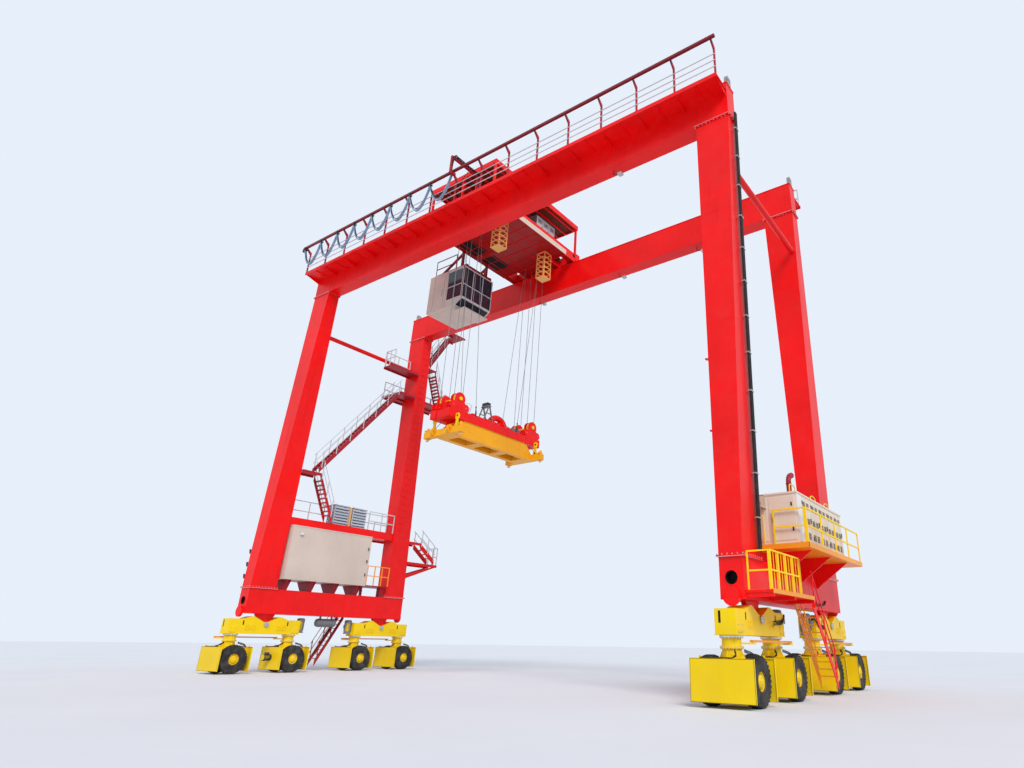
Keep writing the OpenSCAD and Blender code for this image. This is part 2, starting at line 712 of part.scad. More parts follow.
// Trolley frame: a deck and cross beams between two end trucks that hold the wheels
module trolley_frame() {
    rope_beam_y = inner_web_y - 105;
    color(red) translate([trolley_x, 0, 0]) {
        block([-trolley_len / 2, -deck_edge_y, deck_bottom], [trolley_len / 2, deck_edge_y, deck_top]);
        block([-900, -rope_beam_y, deck_bottom], [900, rope_beam_y, deck_top]);
        for (x = [-trolley_len / 2 + 200, -1100, 1100, trolley_len / 2 - 200])
            block([x - 175, -girder_gauge / 2 + truck_w / 2 - 10, deck_bottom],
                  [x + 175, girder_gauge / 2 - truck_w / 2 + 10, beam_top]);
        for (s = [-1, 1]) translate([0, s * girder_gauge / 2, 0]) difference() {
            block([-trolley_len / 2, -truck_w / 2, truck_bottom], [trolley_len / 2, truck_w / 2, truck_top]);
            for (x = [-trolley_wheel_x, trolley_wheel_x]) {
                block([x - trolley_wheel_r - 20, -trolley_wheel_w / 2 - 20, truck_bottom - 1],
                      [x + trolley_wheel_r + 20, trolley_wheel_w / 2 + 20, truck_top - 40]);
                translate([x, 0, rail_top + trolley_wheel_r]) rotate([90, 0, 0])
                    cylinder(r = trolley_axle_r + running_gap, h = truck_w + 2, center = true, $fn = 32);
            }
        }
        towing_arm();
    }
}

// Arm from the machinery deck's edge, over the festoon track and down to the cable
module towing_arm() {
    t = arm_t;
    x = arm_x - trolley_x;
    color(dark_red) {
        block([x - t / 2, -girder_gauge / 2 - t / 2, truck_top - 1], [x + t / 2, -girder_gauge / 2 + t / 2, arm_z + t]);
        block([x - t / 2, -arm_y - t / 2, arm_z], [x + t / 2, -girder_gauge / 2, arm_z + t]);
        block([x - t / 2, -arm_y - t / 2, cable_z - t], [x + t / 2, -arm_y + t / 2, arm_z + t]);
        block([x - t / 2, -arm_y - t / 2, cable_z - t], [x + t / 2, -festoon_y + cable_w / 2, cable_z + t / 4]);
    }
}

// Four wheels that stand on the rails, each on its axle through the truck
module trolley_wheels() {
    color(steel) for (sx = [-1, 1], sy = [-1, 1])
        translate([trolley_x + sx * trolley_wheel_x, sy * girder_gauge / 2, rail_top + trolley_wheel_r])
            rotate([90, 0, 0]) {
                cylinder(r = trolley_wheel_r, h = trolley_wheel_w, center = true, $fn = 48);
                cylinder(r = trolley_axle_r, h = truck_w + 40, center = true, $fn = 32);
            }
}

// Drum, gearbox and motors on the deck
module hoist_machinery() {
    color(steel) translate([trolley_x, 0, beam_top]) {
        translate([0, 0, 620]) rotate([90, 0, 0]) cylinder(r = 420, h = 3000, center = true, $fn = 48);
        for (y = [-1600, 1600]) block([-300, y - 100, deck_top + seat_gap - beam_top], [300, y + 100, 620]);
        block([-350, 1700, deck_top + seat_gap - beam_top], [350, 2400, 900]);
        block([600, -2600, 0], [1700, -900, 1500]);
        block([600, 700, 0], [1700, 2400, 1500]);
    }
}

roof_y = girder_gauge / 2 - arm_t / 2 - seat_gap;
roof_z = deck_top + roof_rise;
arm_z = festoon_z + 630;

// Ribbed roof over the machinery, on posts that stand on the end trucks
module machinery_roof() {
    post = 110;
    rib_w = 80;
    rib_h = 120;
    rib_count = 8;
    color(red) translate([trolley_x, 0, 0]) {
        block([-trolley_len / 2, -roof_y, roof_z], [trolley_len / 2, roof_y, roof_z + 60]);
        for (x = [-trolley_len / 2, trolley_len / 2 - 60])
            block([x, -roof_y, roof_z - 120], [x + 60, roof_y, roof_z + roof_t]);
        for (y = [-roof_y, roof_y - 60])
            block([-trolley_len / 2, y, roof_z - 120], [trolley_len / 2, y + 60, roof_z + roof_t]);
        for (x = [-trolley_len / 2 + 100, 0, trolley_len / 2 - 100], s = [-1, 1])
            block([x - post / 2, s * (roof_y - 90) - post / 2, truck_top],
                  [x + post / 2, s * (roof_y - 90) + post / 2, roof_z]);
    }
    color(dark_red) translate([trolley_x, 0, 0]) for (k = [0 : rib_count - 1]) {
        x = -trolley_len / 2 + (k + 0.5) * trolley_len / rib_count;
        block([x - rib_w / 2, -roof_y + 60, roof_z - rib_h], [x + rib_w / 2, roof_y - 60, roof_z]);
    }
}

// Two access cages that hang under the deck: corner posts, rungs and a floor
module access_cages() {
    bar = 45;
    w = 620;
    cage_inset = 1075;
    bottom = deck_bottom - 1700;
    rungs = 5;
    color(yellow) for (s = [-1, 1]) translate([trolley_x + trolley_len / 2 - cage_inset, s * (deck_edge_y - 700), 0]) {
        for (x = [-1, 1], y = [-1, 1])
            translate([x * (w - bar) / 2, y * (w - bar) / 2, (bottom + deck_bottom) / 2])
                cube([bar, bar, deck_bottom - bottom], center = true);
        for (k = [0 : rungs], t = [-1, 1]) {
            z = bottom + bar / 2 + k * (deck_bottom - bottom - bar) / rungs;
            translate([t * (w - bar) / 2, 0, z]) cube([bar, w, bar], center = true);
            translate([0, t * (w - bar) / 2, z]) cube([w, bar, bar], center = true);
        }
        translate([0, 0, bottom + bar / 2]) cube([w, w, bar - 10], center = true);
    }
}

cab_x1 = trolley_x - cab_gap;
cab_x0 = cab_x1 - cab_len;
cab_top = cab_floor_z + cab_h;

// Frame that hangs the cab from the trolley's deck, with the rails over the cab's rear
module cab_frame() {
    post = 130;
    beam_h = 180;
    hang_x = trolley_x - trolley_len / 2 + 100;
    rear_x = cab_x0 + 350;
    color(dark_red) {
        for (s = [-1, 1]) translate([0, s * (cab_w / 2 - 220), 0]) {
            block([rear_x, -post / 2, cab_top], [cab_x1, post / 2, cab_top + beam_h]);
            block([hang_x - post / 2, -post / 2, cab_top + beam_h - 1], [hang_x + post / 2, post / 2, deck_bottom]);
            bar_xz(0, [rear_x + 350, cab_top + 100], [hang_x, deck_bottom - 150], post - 20, post - 20);
        }
        for (x = [rear_x, cab_x1 - 160])
            block([x, -cab_w / 2 + 200, cab_top + 20], [x + 160, cab_w / 2 - 200, cab_top + 150]);
        for (x = [rear_x + 20, hang_x - 340], s = [-1, 1])
            translate([x, s * (cab_w / 2 - 60), cab_top]) cylinder(r = 24, h = rail_post_h - 60, $fn = 12);
        for (s = [-1, 1], h = [500, rail_post_h - 60])
            block([rear_x, s * (cab_w / 2 - 60) - 20, cab_top + h - 40],
                  [hang_x - 330, s * (cab_w / 2 - 60) + 20, cab_top + h]);
    }
}

wall_t = 60;
glass_t = 20;
glass_x0 = cab_x1 - 1250;
foot_run = 620;
foot_rise = 380;

// Ends of the sloping foot window, and the height of the cab's sloping underside at a place along it
foot_x0 = cab_x1 - foot_run + 60;
foot_x1 = cab_x1 - 90;
function foot_z(x) = cab_floor_z + foot_rise * (x - cab_x1 + foot_run) / foot_run;

// Side outline of the cab: the floor's front edge rises to the front glass
module cab_outline(inset) {
    polygon([[cab_x0 + inset, cab_floor_z + inset], [cab_x1 - foot_run, cab_floor_z + inset],
             [cab_x1 - inset, cab_floor_z + foot_rise + inset * 0.6], [cab_x1 - inset, cab_top - inset],
             [cab_x0 + inset, cab_top - inset]]);
}

// Extrudes a drawing in X and Z across the cab's width
module across_cab(w) {
    rotate([90, 0, 0]) linear_extrude(w, center = true) children();
}

// Cab shell: floor, roof, back and side walls, open where the glazing stands
module cab_shell() {
    color(beige) {
        difference() {
            across_cab(cab_w) cab_outline(0);
            across_cab(cab_w - 2 * wall_t) cab_outline(wall_t);
            block([cab_x1 - wall_t - 1, -cab_w / 2 + wall_t, cab_floor_z + foot_rise + wall_t],
                  [cab_x1 + 1, cab_w / 2 - wall_t, cab_top - wall_t]);
            across_cab(cab_w - 2 * wall_t)
                polygon([[foot_x0, cab_floor_z - 5], [foot_x1, cab_floor_z - 5],
                         [foot_x1, cab_floor_z + foot_rise + 45], [foot_x0, cab_floor_z + wall_t + 80]]);
            for (s = [-1, 1])
                translate([0, s * (cab_w / 2 - wall_t / 2), 0])
                    block([glass_x0, -wall_t, cab_floor_z + foot_rise + 60], [cab_x1 - wall_t, wall_t, cab_top - 150]);
        }
        block([cab_x1 - 760, -cab_w / 2 + 250, cab_floor_z - 260], [cab_x1 + 100, cab_w / 2 - 250, cab_floor_z - 200]);
        for (x = [cab_x1 - 740, cab_x1 - 680], s = [-1, 1])
            translate([x, s * (cab_w / 2 - 300), cab_floor_z - 120]) cube([40, 40, 250], center = true);
    }
}

// Front, foot and side glazing of the cab
module cab_glazing() {
    color(glass) {
        block([cab_x1 - 40, -cab_w / 2 + wall_t, cab_floor_z + foot_rise + wall_t],
              [cab_x1 - 40 + glass_t, cab_w / 2 - wall_t, cab_top - wall_t]);
        for (s = [-1, 1]) translate([0, s * (cab_w / 2 - wall_t / 2), 0])
            block([glass_x0, -glass_t / 2, cab_floor_z + foot_rise + 60], [cab_x1 - wall_t, glass_t / 2, cab_top - 150]);
        across_cab(cab_w - 2 * wall_t - 2 * seat_gap) {
            a = foot_x0 + seat_gap;
            b = foot_x1 - seat_gap;
            polygon([[a, foot_z(a) + 8], [b, foot_z(b) + 8], [b, foot_z(b) + 8 + glass_t], [a, foot_z(a) + 8 + glass_t]]);
        }
    }
}

spreader_top = twistlock_z + 950;
sheave_z = spreader_top + 1020;
sheave_x = 480;
pin_r = 70;

// Headblock: two beams, a middle drum and lobed cheek plates that hold the sheaves at both ends
module headblock() {
    beam_h = 420;
    beam_half = 190;
    cheek_t = 50;
    cheek_x = 150;
    cheek_z = spreader_top + 2 * seat_gap + beam_h;
    drum_r = 330;
    lobe_r = 200;
    base_z = spreader_top + seat_gap;
    color(red) translate([trolley_x, 0, 0]) {
        for (s = [-1, 1]) block([s * sheave_x - beam_half, -sheave_pitch / 2 - 620, base_z],
                                [s * sheave_x + beam_half, sheave_pitch / 2 + 620, base_z + beam_h]);
        for (y = [-sheave_pitch / 2 - 450, -1150, 1150, sheave_pitch / 2 + 450])
            block([-sheave_x, y - 130, base_z], [sheave_x, y + 130, base_z + beam_h - 40]);
        translate([0, 0, base_z + beam_h]) rotate([90, 0, 0])
            cylinder(r = drum_r, h = 2600, center = true, $fn = 40);
        translate([0, 750, base_z + beam_h + 60]) rotate([90, 0, 0])
            cylinder(r = drum_r + 100, h = 90, center = true, $fn = 48);
        for (s = [-1, 1]) translate([0, s * sheave_pitch / 2, 0]) difference() {
            for (x = [-sheave_x - cheek_x, -sheave_x + cheek_x, sheave_x - cheek_x, sheave_x + cheek_x]) translate([x, 0, 0])
                rotate([90, 0, 90]) linear_extrude(cheek_t, center = true) {
                    polygon([[-450, cheek_z], [450, cheek_z], [430, cheek_z + 240], [260, sheave_z - 60],
                             [-260, sheave_z - 60], [-430, cheek_z + 240]]);
                    translate([0, sheave_z]) circle(r = sheave_r + 60, $fn = 40);
                    for (t = [-1, 1]) translate([t * (620 - lobe_r), cheek_z + lobe_r + 5]) circle(r = lobe_r, $fn = 32);
                }
            translate([0, 0, sheave_z]) rotate([0, 90, 0])
                cylinder(r = pin_r + running_gap, h = 2000, center = true, $fn = 40);
        }
    }
}

// A pair of sheaves on one shaft
module sheaves(s) {
    w = 110;
    color(yellow) translate([trolley_x, s * sheave_pitch / 2, sheave_z]) rotate([0, 90, 0]) {
        cylinder(r = pin_r, h = 2 * (sheave_x + 220), center = true, $fn = 40);
        for (x = [-sheave_x, sheave_x]) translate([0, 0, x]) cylinder(r = sheave_r, h = w, center = true, $fn = 64);
    }
}

// A straight round bar from point a to point b
module rod(a, b, r) {
    d = b - a;
    translate(a) rotate([0, acos(d[2] / norm(d)), atan2(d[1], d[0])]) cylinder(r = r, h = norm(d), $fn = 16);
}

// Eight rope falls, two at each sheave, and four ropes against sway, all up to the trolley's deck
module hoist_ropes() {
    sway_x = 560;
    sway_foot_y = 1500;
    sway_head_y = 2450;
    sway_foot = spreader_top + seat_gap + 420;
    lean = (sway_head_y - sway_foot_y) / (deck_bottom - sway_foot);
    color(grey) translate([trolley_x, 0, 0]) {
        for (x = [-sheave_x, sheave_x], s = [-1, 1], t = [-1, 1])
            translate([x, s * sheave_pitch / 2 + t * (sheave_r + rope_r + seat_gap), sheave_z])
                cylinder(r = rope_r, h = deck_bottom - sheave_z, $fn = 16);
        for (x = [-sway_x, sway_x], s = [-1, 1])
            rod([x, s * sway_foot_y, sway_foot + lean * rope_r + seat_gap],
                [x, s * sway_head_y, deck_bottom - lean * rope_r - seat_gap], rope_r);
    }
}

// Spreader: a deep box with sloping ends, end beams across it and a twistlock at each corner
module spreader() {
    box_x = 620;
    end_y = lock_pitch_y / 2;
    beam_z = twistlock_z + 140;
    lock_r = 50;
    end_h = 300;
    color(orange) translate([trolley_x, 0, 0]) {
        difference() {
            rotate([90, 0, 90]) linear_extrude(2 * box_x, center = true)
                polygon([[-end_y + 150, beam_z], [end_y - 150, beam_z], [end_y - 150, beam_z + end_h],
                         [end_y - 650, spreader_top], [-end_y + 650, spreader_top],
                         [-end_y + 150, beam_z + end_h]]);
            for (y = [-1700, 0, 1700])
                block([-box_x + 260, y - 600, beam_z - 1], [box_x - 260, y + 600, spreader_top + 1]);
        }
        for (s = [-1, 1]) {
            block([-lock_pitch_x / 2 - 120, s * end_y - 150, beam_z], [lock_pitch_x / 2 + 120, s * end_y + 150, beam_z + end_h]);
            for (x = [-1, 1]) translate([x * (box_x - 80), s * (end_y + 150), beam_z + 230]) rotate([0, 90, 0])
                cylinder(r = 190, h = 90, center = true, $fn = 36);
        }
        for (sx = [-1, 1], sy = [-1, 1])
            translate([sx * lock_pitch_x / 2, sy * lock_pitch_y / 2, twistlock_z])
                cylinder(r = lock_r, h = beam_z - twistlock_z + 1, $fn = 24);
    }
}

// Equalizer beam with raised end blocks, two peaks, a notch for the sill's lug, and a motor
module equalizer(sx, sy) {
    half = unit_pitch / 2 + 360;
    block_len = 720;
    block_h = 690;
    peak_y = 730;
    peak_h = 820;
    slot_y = 640;
    notch_h = equalizer_pin_z + equalizer_pin_r + 30 - king_post_top;
    motor_r = 170;
    motor_h = 700;
    motor_y = half + motor_r + 30;
    color(yellow) translate([sx * span / 2, sy * bogie_pitch / 2, 0]) {
        difference() {
            rotate([90, 0, 90]) linear_extrude(equalizer_w, center = true)
                translate([0, king_post_top])
                    polygon([[-half, 0], [half, 0], [half, block_h], [half - block_len, block_h],
                             [peak_y + 60, peak_h], [peak_y - 80, peak_h], [150, notch_h], [-150, notch_h],
                             [80 - peak_y, peak_h], [-peak_y - 60, peak_h], [block_len - half, block_h],
                             [-half, block_h]]);
            block([-slot_t / 2, -slot_y, equalizer_pin_z - 190], [slot_t / 2, slot_y, sill_bottom]);
            translate([0, 0, equalizer_pin_z]) rotate([0, 90, 0])
                cylinder(r = equalizer_pin_r + running_gap, h = equalizer_w + 100, center = true, $fn = 40);
            for (s = [-1, 1]) translate([0, s * unit_pitch / 2, king_post_top - 1])
                cylinder(r = king_stub_r + running_gap, h = king_stub_h + 1 + seat_gap, $fn = 40);
        }
        block([-150, min(-sy * (half - 1), -sy * motor_y), king_post_top + 90],
              [150, max(-sy * (half - 1), -sy * motor_y), king_post_top + 160]);
        translate([0, -sy * motor_y, king_post_top + 90]) cylinder(r = motor_r, h = motor_h, $fn = 32);
    }
}

king_stub_r = 110;
king_stub_h = 400;
axle_r = 80;
arm_reach = 440;
arm_pin_r = 35;
arm_pin_z = 1640;
hub_half = 90;

// A wheel unit: king post with gussets, axle housing, steering arm, two guard plates and, on the inner units, a motor
module wheel_unit(sx, y) {
    housing_w = tyre_track - tyre_w - 60;
    housing_top = tyre_r + 330;
    plate_t = 16;
    guard_top = guard_bottom + guard_h;
    shelf_z = guard_top - 90;
    motor_r = 130;
    motor_len = 400;
    color(yellow) translate([sx * span / 2, y, 0]) difference() {
        union() {
            translate([0, 0, king_post_top - 20]) cylinder(r = king_stub_r, h = king_stub_h + 20, $fn = 40);
            translate([0, 0, shelf_z]) cylinder(r = king_post_r, h = king_post_top - 6 - shelf_z, $fn = 48);
            translate([0, 0, 1450]) cylinder(r = king_post_r + 60, h = 50, $fn = 48);
            translate([0, 0, king_post_top - 66]) cylinder(r = king_post_r + 60, h = 60, $fn = 48);
            translate([0, 0, king_post_top - 40]) cylinder(r = king_stub_r + 40, h = 40 - seat_gap, $fn = 40);
            block([-housing_w / 2, -300, tyre_r - 200], [housing_w / 2, 300, shelf_z]);
            for (a = [0, 90]) rotate([90, 0, a]) linear_extrude(40, center = true)
                polygon([[-430, shelf_z - 1], [430, shelf_z - 1], [king_post_r - 5, 1440], [5 - king_post_r, 1440]]);
            if (abs(y) < bogie_pitch / 2) translate([0, sign(y) * (guard_reach - 1), tyre_r + 60])
                rotate([-sign(y) * 90, 0, 0]) cylinder(r = motor_r, h = motor_len + 1, $fn = 32);
            for (s = [-1, 1]) {
                block([-guard_w / 2, min(s * (guard_reach - plate_t), s * guard_reach), guard_bottom],
                      [guard_w / 2, max(s * (guard_reach - plate_t), s * guard_reach), guard_top]);
                block([-housing_w / 2, min(0, s * guard_reach), shelf_z - 60],
                      [housing_w / 2, max(0, s * guard_reach), shelf_z]);
            }
            translate([0, 0, arm_pin_z - 85]) rotate([0, 0, sx * 90 - 45])
                block([0, -80, 0], [arm_reach * sqrt(2) + 70, 80, 50]);
        }
        translate([0, 0, tyre_r]) rotate([0, 90, 0])
            cylinder(r = axle_r + running_gap, h = 3000, center = true, $fn = 40);
        translate([sx * arm_reach, sx * arm_reach, arm_pin_z - 100])
            cylinder(r = arm_pin_r + running_gap, h = 100, $fn = 32);
    }
}

// Two tyres with their hubs on one axle
module wheels(sx, y) {
    crown_w = tyre_w - 120;
    color(black) translate([sx * span / 2, y, tyre_r]) rotate([0, 90, 0]) {
        cylinder(r = axle_r, h = tyre_track, center = true, $fn = 40);
        for (s = [-1, 1]) translate([0, 0, s * tyre_track / 2]) cylinder(r = 175, h = tyre_w - 10, center = true, $fn = 40);
        for (s = [-1, 1]) translate([0, 0, s * tyre_track / 2]) rotate_extrude($fn = 96)
            polygon([[0, -tyre_w / 2 + 60], [290, -tyre_w / 2 + 60], [330, -tyre_w / 2 + 20],
                     [480, -tyre_w / 2], [590, -tyre_w / 2 + 20], [tyre_r, -crown_w / 2],
                     [tyre_r, crown_w / 2], [590, tyre_w / 2 - 20], [480, tyre_w / 2],
                     [330, tyre_w / 2 - 20], [290, tyre_w / 2 - 60], [0, tyre_w / 2 - 60]]);
    }
}

// Steering bar that links the arms of a bogie's two wheel units
module tie_bar(sx, sy) {
    y0 = sy * (bogie_pitch + unit_pitch) / 2 + sx * arm_reach;
    y1 = sy * (bogie_pitch - unit_pitch) / 2 + sx * arm_reach;
    open_gap = 1;
    color(orange) translate([sx * (span / 2 + arm_reach), 0, 0]) {
        block([-50, min(y0, y1) - 90, arm_pin_z - 30], [50, max(y0, y1) + 90, arm_pin_z + 30]);
        translate([0, y0, arm_pin_z - 85]) cylinder(r = arm_pin_r, h = 60, $fn = 32);
        translate([0, y1, arm_pin_z - 85]) cylinder(r = arm_pin_r - open_gap, h = 60, $fn = 32);
    }
}

// Places of the wheel units: sign along X, then the height of their centre along Y
unit_y = [-(bogie_pitch + unit_pitch) / 2, -(bogie_pitch - unit_pitch) / 2,
          (bogie_pitch - unit_pitch) / 2, (bogie_pitch + unit_pitch) / 2];

girder(-1);  // near_girder
girder(1);  // far_girder
leg(1, -1);  // near_right_leg
leg(1, 1);  // far_right_leg
leg(-1, -1);  // near_left_leg
leg(-1, 1);  // far_left_leg
sill(1);  // right_sill
sill(-1);  // left_sill
left_cross_beam();
side_ties();
trolley_rails();
girder_walkways();
festoon_track();
festoon_cable();
electric_house();
house_trestles();
resistor_bank();
left_stairs();
power_house();
power_deck();
guard_rails();
ground_stair();
cable_bundle();
trolley_frame();
trolley_wheels();
hoist_machinery();
machinery_roof();
access_cages();
cab_frame();
cab_shell();
cab_glazing();
headblock();
spreader();
hoist_ropes();
sheaves(-1);  // near_sheaves
sheaves(1);  // far_sheaves
equalizer(1, -1);  // near_right_equalizer
equalizer(1, 1);  // far_right_equalizer
equalizer(-1, -1);  // near_left_equalizer
equalizer(-1, 1);  // far_left_equalizer
tie_bar(1, -1);  // near_right_tie_bar
tie_bar(1, 1);  // far_right_tie_bar
tie_bar(-1, -1);  // near_left_tie_bar
tie_bar(-1, 1);  // far_left_tie_bar
wheel_unit(1, unit_y[0]);  // wheel_unit_1
wheel_unit(1, unit_y[1]);  // wheel_unit_2
wheel_unit(1, unit_y[2]);  // wheel_unit_3
wheel_unit(1, unit_y[3]);  // wheel_unit_4
wheel_unit(-1, unit_y[0]);  // wheel_unit_5
wheel_unit(-1, unit_y[1]);  // wheel_unit_6
wheel_unit(-1, unit_y[2]);  // wheel_unit_7
wheel_unit(-1, unit_y[3]);  // wheel_unit_8
wheels(1, unit_y[0]);  // wheels_1
wheels(1, unit_y[1]);  // wheels_2
wheels(1, unit_y[2]);  // wheels_3
wheels(1, unit_y[3]);  // wheels_4
wheels(-1, unit_y[0]);  // wheels_5
wheels(-1, unit_y[1]);  // wheels_6
wheels(-1, unit_y[2]);  // wheels_7
wheels(-1, unit_y[3]);  // wheels_8
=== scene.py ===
# %% [markdown]
# # A rubber tyred gantry crane
# The crane's solids come as a fixed frame, in metres, with every part in its place.
# This notebook gives them their finishes and adds what the solids leave out: treads,
# bolts, ropes, cables, seams, fins and louvres. Nothing that the frame brings is moved.

# %% The frame
import json
import math
from functools import partial
from itertools import product
import bpy
import numpy as np
from mathutils import Matrix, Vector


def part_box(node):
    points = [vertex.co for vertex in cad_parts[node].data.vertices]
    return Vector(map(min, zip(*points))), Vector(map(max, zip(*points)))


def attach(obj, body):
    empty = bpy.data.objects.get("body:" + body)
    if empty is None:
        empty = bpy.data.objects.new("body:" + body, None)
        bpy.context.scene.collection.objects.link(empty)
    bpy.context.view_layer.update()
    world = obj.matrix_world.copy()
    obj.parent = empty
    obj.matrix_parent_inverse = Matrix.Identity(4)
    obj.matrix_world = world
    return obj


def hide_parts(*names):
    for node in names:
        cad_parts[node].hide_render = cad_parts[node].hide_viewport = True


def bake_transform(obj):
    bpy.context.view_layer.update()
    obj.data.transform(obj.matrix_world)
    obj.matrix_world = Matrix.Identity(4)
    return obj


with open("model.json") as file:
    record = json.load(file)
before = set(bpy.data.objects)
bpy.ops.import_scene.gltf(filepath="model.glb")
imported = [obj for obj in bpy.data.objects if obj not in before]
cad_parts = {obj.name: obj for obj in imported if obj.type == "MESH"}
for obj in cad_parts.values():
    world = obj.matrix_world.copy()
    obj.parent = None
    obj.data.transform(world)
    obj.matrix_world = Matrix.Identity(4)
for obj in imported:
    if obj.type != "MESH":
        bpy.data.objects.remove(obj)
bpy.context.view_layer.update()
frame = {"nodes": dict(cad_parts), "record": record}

# %% [markdown]
# ## Camera
# The photograph was taken from the ground, near the right end, looking up and to the
# left. Its place was solved from straight edges of the crane. The shift is small: it
# only puts the middle of the lens where the photograph's cropping leaves it.

# %% Camera
camera = bpy.data.objects.new("camera", bpy.data.cameras.new("camera"))
bpy.context.scene.collection.objects.link(camera)
bpy.context.scene.camera = camera
eye = np.array([21.225, -22.938, 1.530])
yaw, pitch, roll = np.radians([123.86, 22.88, 0.675])
ahead = np.array([np.cos(pitch) * np.cos(yaw), np.cos(pitch) * np.sin(yaw), np.sin(pitch)])
level = np.array([np.sin(yaw), -np.cos(yaw), 0.0])
above = np.cross(level, ahead)
right, upward = level * np.cos(roll) + above * np.sin(roll), above * np.cos(roll) - level * np.sin(roll)
pose = np.eye(4)
pose[:3] = np.stack([right, upward, -ahead, eye], 1)
camera.matrix_world = Matrix(pose.tolist())
lens = camera.data
lens.sensor_width, lens.lens, lens.clip_end = 36.0, 22.572, 500.0
lens.shift_x, lens.shift_y = -0.0996, -0.0109
print("camera at", eye, "lens", lens.lens)

# %% [markdown]
# ## Floor and light
# A hazy winter sky lights the crane evenly, with a soft sun behind the camera. A bright
# floor throws light up under the girders, as the pale ground does. The sky has one
# colour for what is seen and mirrored, and a softer one for the light that it sheds.

# %% Floor and light
FLOOR_REACH, FLOOR_Z = 300.0, -0.002
floor_mesh = bpy.data.meshes.new("floor")
floor_mesh.from_pydata([(x * FLOOR_REACH, y * FLOOR_REACH, FLOOR_Z)
                        for x, y in ((-1, -1), (1, -1), (1, 1), (-1, 1))], [], [[0, 1, 2, 3]])
floor = bpy.data.objects.new("floor", floor_mesh)
bpy.context.scene.collection.objects.link(floor)
bpy.context.scene.view_settings.view_transform = "Standard"
world = bpy.data.worlds.new("sky")
bpy.context.scene.world = world
world.use_nodes = True
nodes, links = world.node_tree.nodes, world.node_tree.links
shed, seen = nodes["Background"], nodes.new("ShaderNodeBackground")
for glow, colour, strength in ((shed, (0.86, 0.91, 1.0, 1), 0.62), (seen, (0.80, 0.87, 0.96, 1), 1.0)):
    glow.inputs["Color"].default_value, glow.inputs["Strength"].default_value = colour, strength
rays, choose = nodes.new("ShaderNodeLightPath"), nodes.new("ShaderNodeMixShader")
straight = rays.outputs["Is Camera Ray"]
for kind in ("Is Glossy Ray", "Is Transmission Ray"):
    either = nodes.new("ShaderNodeMath")
    either.operation = "MAXIMUM"
    links.new(straight, either.inputs[0])
    links.new(rays.outputs[kind], either.inputs[1])
    straight = either.outputs[0]
for index, output in enumerate((straight, shed.outputs[0], seen.outputs[0])):
    links.new(output, choose.inputs[index])
links.new(choose.outputs[0], nodes["World Output"].inputs["Surface"])


def sun(name, strength, spread, towards, colour):
    """A distant lamp that shines along the vector towards."""
    lamp = bpy.data.lights.new(name, "SUN")
    lamp.energy, lamp.angle, lamp.color = strength, math.radians(spread), colour
    thing = bpy.data.objects.new(name, lamp)
    bpy.context.scene.collection.objects.link(thing)
    back = -np.array(towards, float) / np.linalg.norm(towards)
    side = np.cross([0.0, 0.0, 1.0], back)
    side /= np.linalg.norm(side)
    turn = np.eye(4)
    turn[:3, :3] = np.stack([side, np.cross(back, side), back], 1)
    thing.matrix_world = Matrix(turn.tolist())


sun("soft_sun", 2.05, 25, (-0.62, 0.55, -0.75), (1.0, 0.97, 0.93))
sun("ground_glow", 0.28, 60, (-0.3, 0.35, 0.8), (0.95, 0.97, 1.0))
print("floor and lamps are in place")

# %% [markdown]
# ## Making surfaces
# Every new piece is a shape: an array of points and the faces between them. A surface
# is a stack of rings, and the tools below differ only in how they work out the rings.
# Whole arrays are computed at once, which keeps thousands of bolts and bars quick: a
# number in a box or a row may also be a list, and then there is one box for each.

# %% Shapes
def rows(x, y, z):
    """Points from their coordinates: numbers and arrays are drawn out to one length."""
    return np.stack(np.broadcast_arrays(x, y, z), -1).astype(float)


def about(centre, half):
    """The two ends of a stretch, from its middle and half its length."""
    return np.subtract(centre, half), np.add(centre, half)


def on_axis(axis, along, a, b):
    """Points from their place along an axis and along the two axes that follow it."""
    return np.roll(rows(along, a, b), "xyz".index(axis), -1)


def round_angles(count):
    """Angles at an even step round a circle, one below the other."""
    return np.arange(count)[:, None] * 2 * np.pi / count


def join(*shapes):
    """One shape from many: the points follow each other and the faces count on."""
    points, loops, sizes = zip(*shapes)
    starts = np.cumsum([0] + [len(p) for p in points])
    return np.concatenate(points), np.concatenate([l + s for l, s in zip(loops, starts)]), np.concatenate(sizes)


def moved(shape, by):
    """The shape shifted by a vector."""
    return shape[0] + by, *shape[1:]


def skin(rings, along=False):
    """Faces over a grid of points rings[k, m]: each ring is closed, and each point joins
    its neighbours in both directions. along closes the row of rings too, and else the two
    end rings get a face. The sign of the enclosed volume says whether faces turn round."""
    rings = np.asarray(rings, float)
    k, m = rings.shape[:2]
    index = np.arange(k * m).reshape(k, m)
    a, b = (index, np.roll(index, -1, 0)) if along else (index[:-1], index[1:])
    quads = np.stack([a, np.roll(a, -1, 1), np.roll(b, -1, 1), b], -1).reshape(-1, 4)
    loops, sizes = [quads.ravel()], [np.full(len(quads), 4)]
    if not along:
        loops, sizes = loops + [index[0][::-1], index[-1]], sizes + [[m, m]]
    points = rings.reshape(-1, 3)
    p, q, r, s = (points[quads[:, i]] - points.mean(0) for i in range(4))
    if np.sum(p * (np.cross(q, r) + np.cross(r, s))) < 0:
        loops = [quads[:, ::-1].ravel()] + [end[::-1] for end in loops[1:]]
    return points, np.concatenate(loops), np.concatenate(sizes)


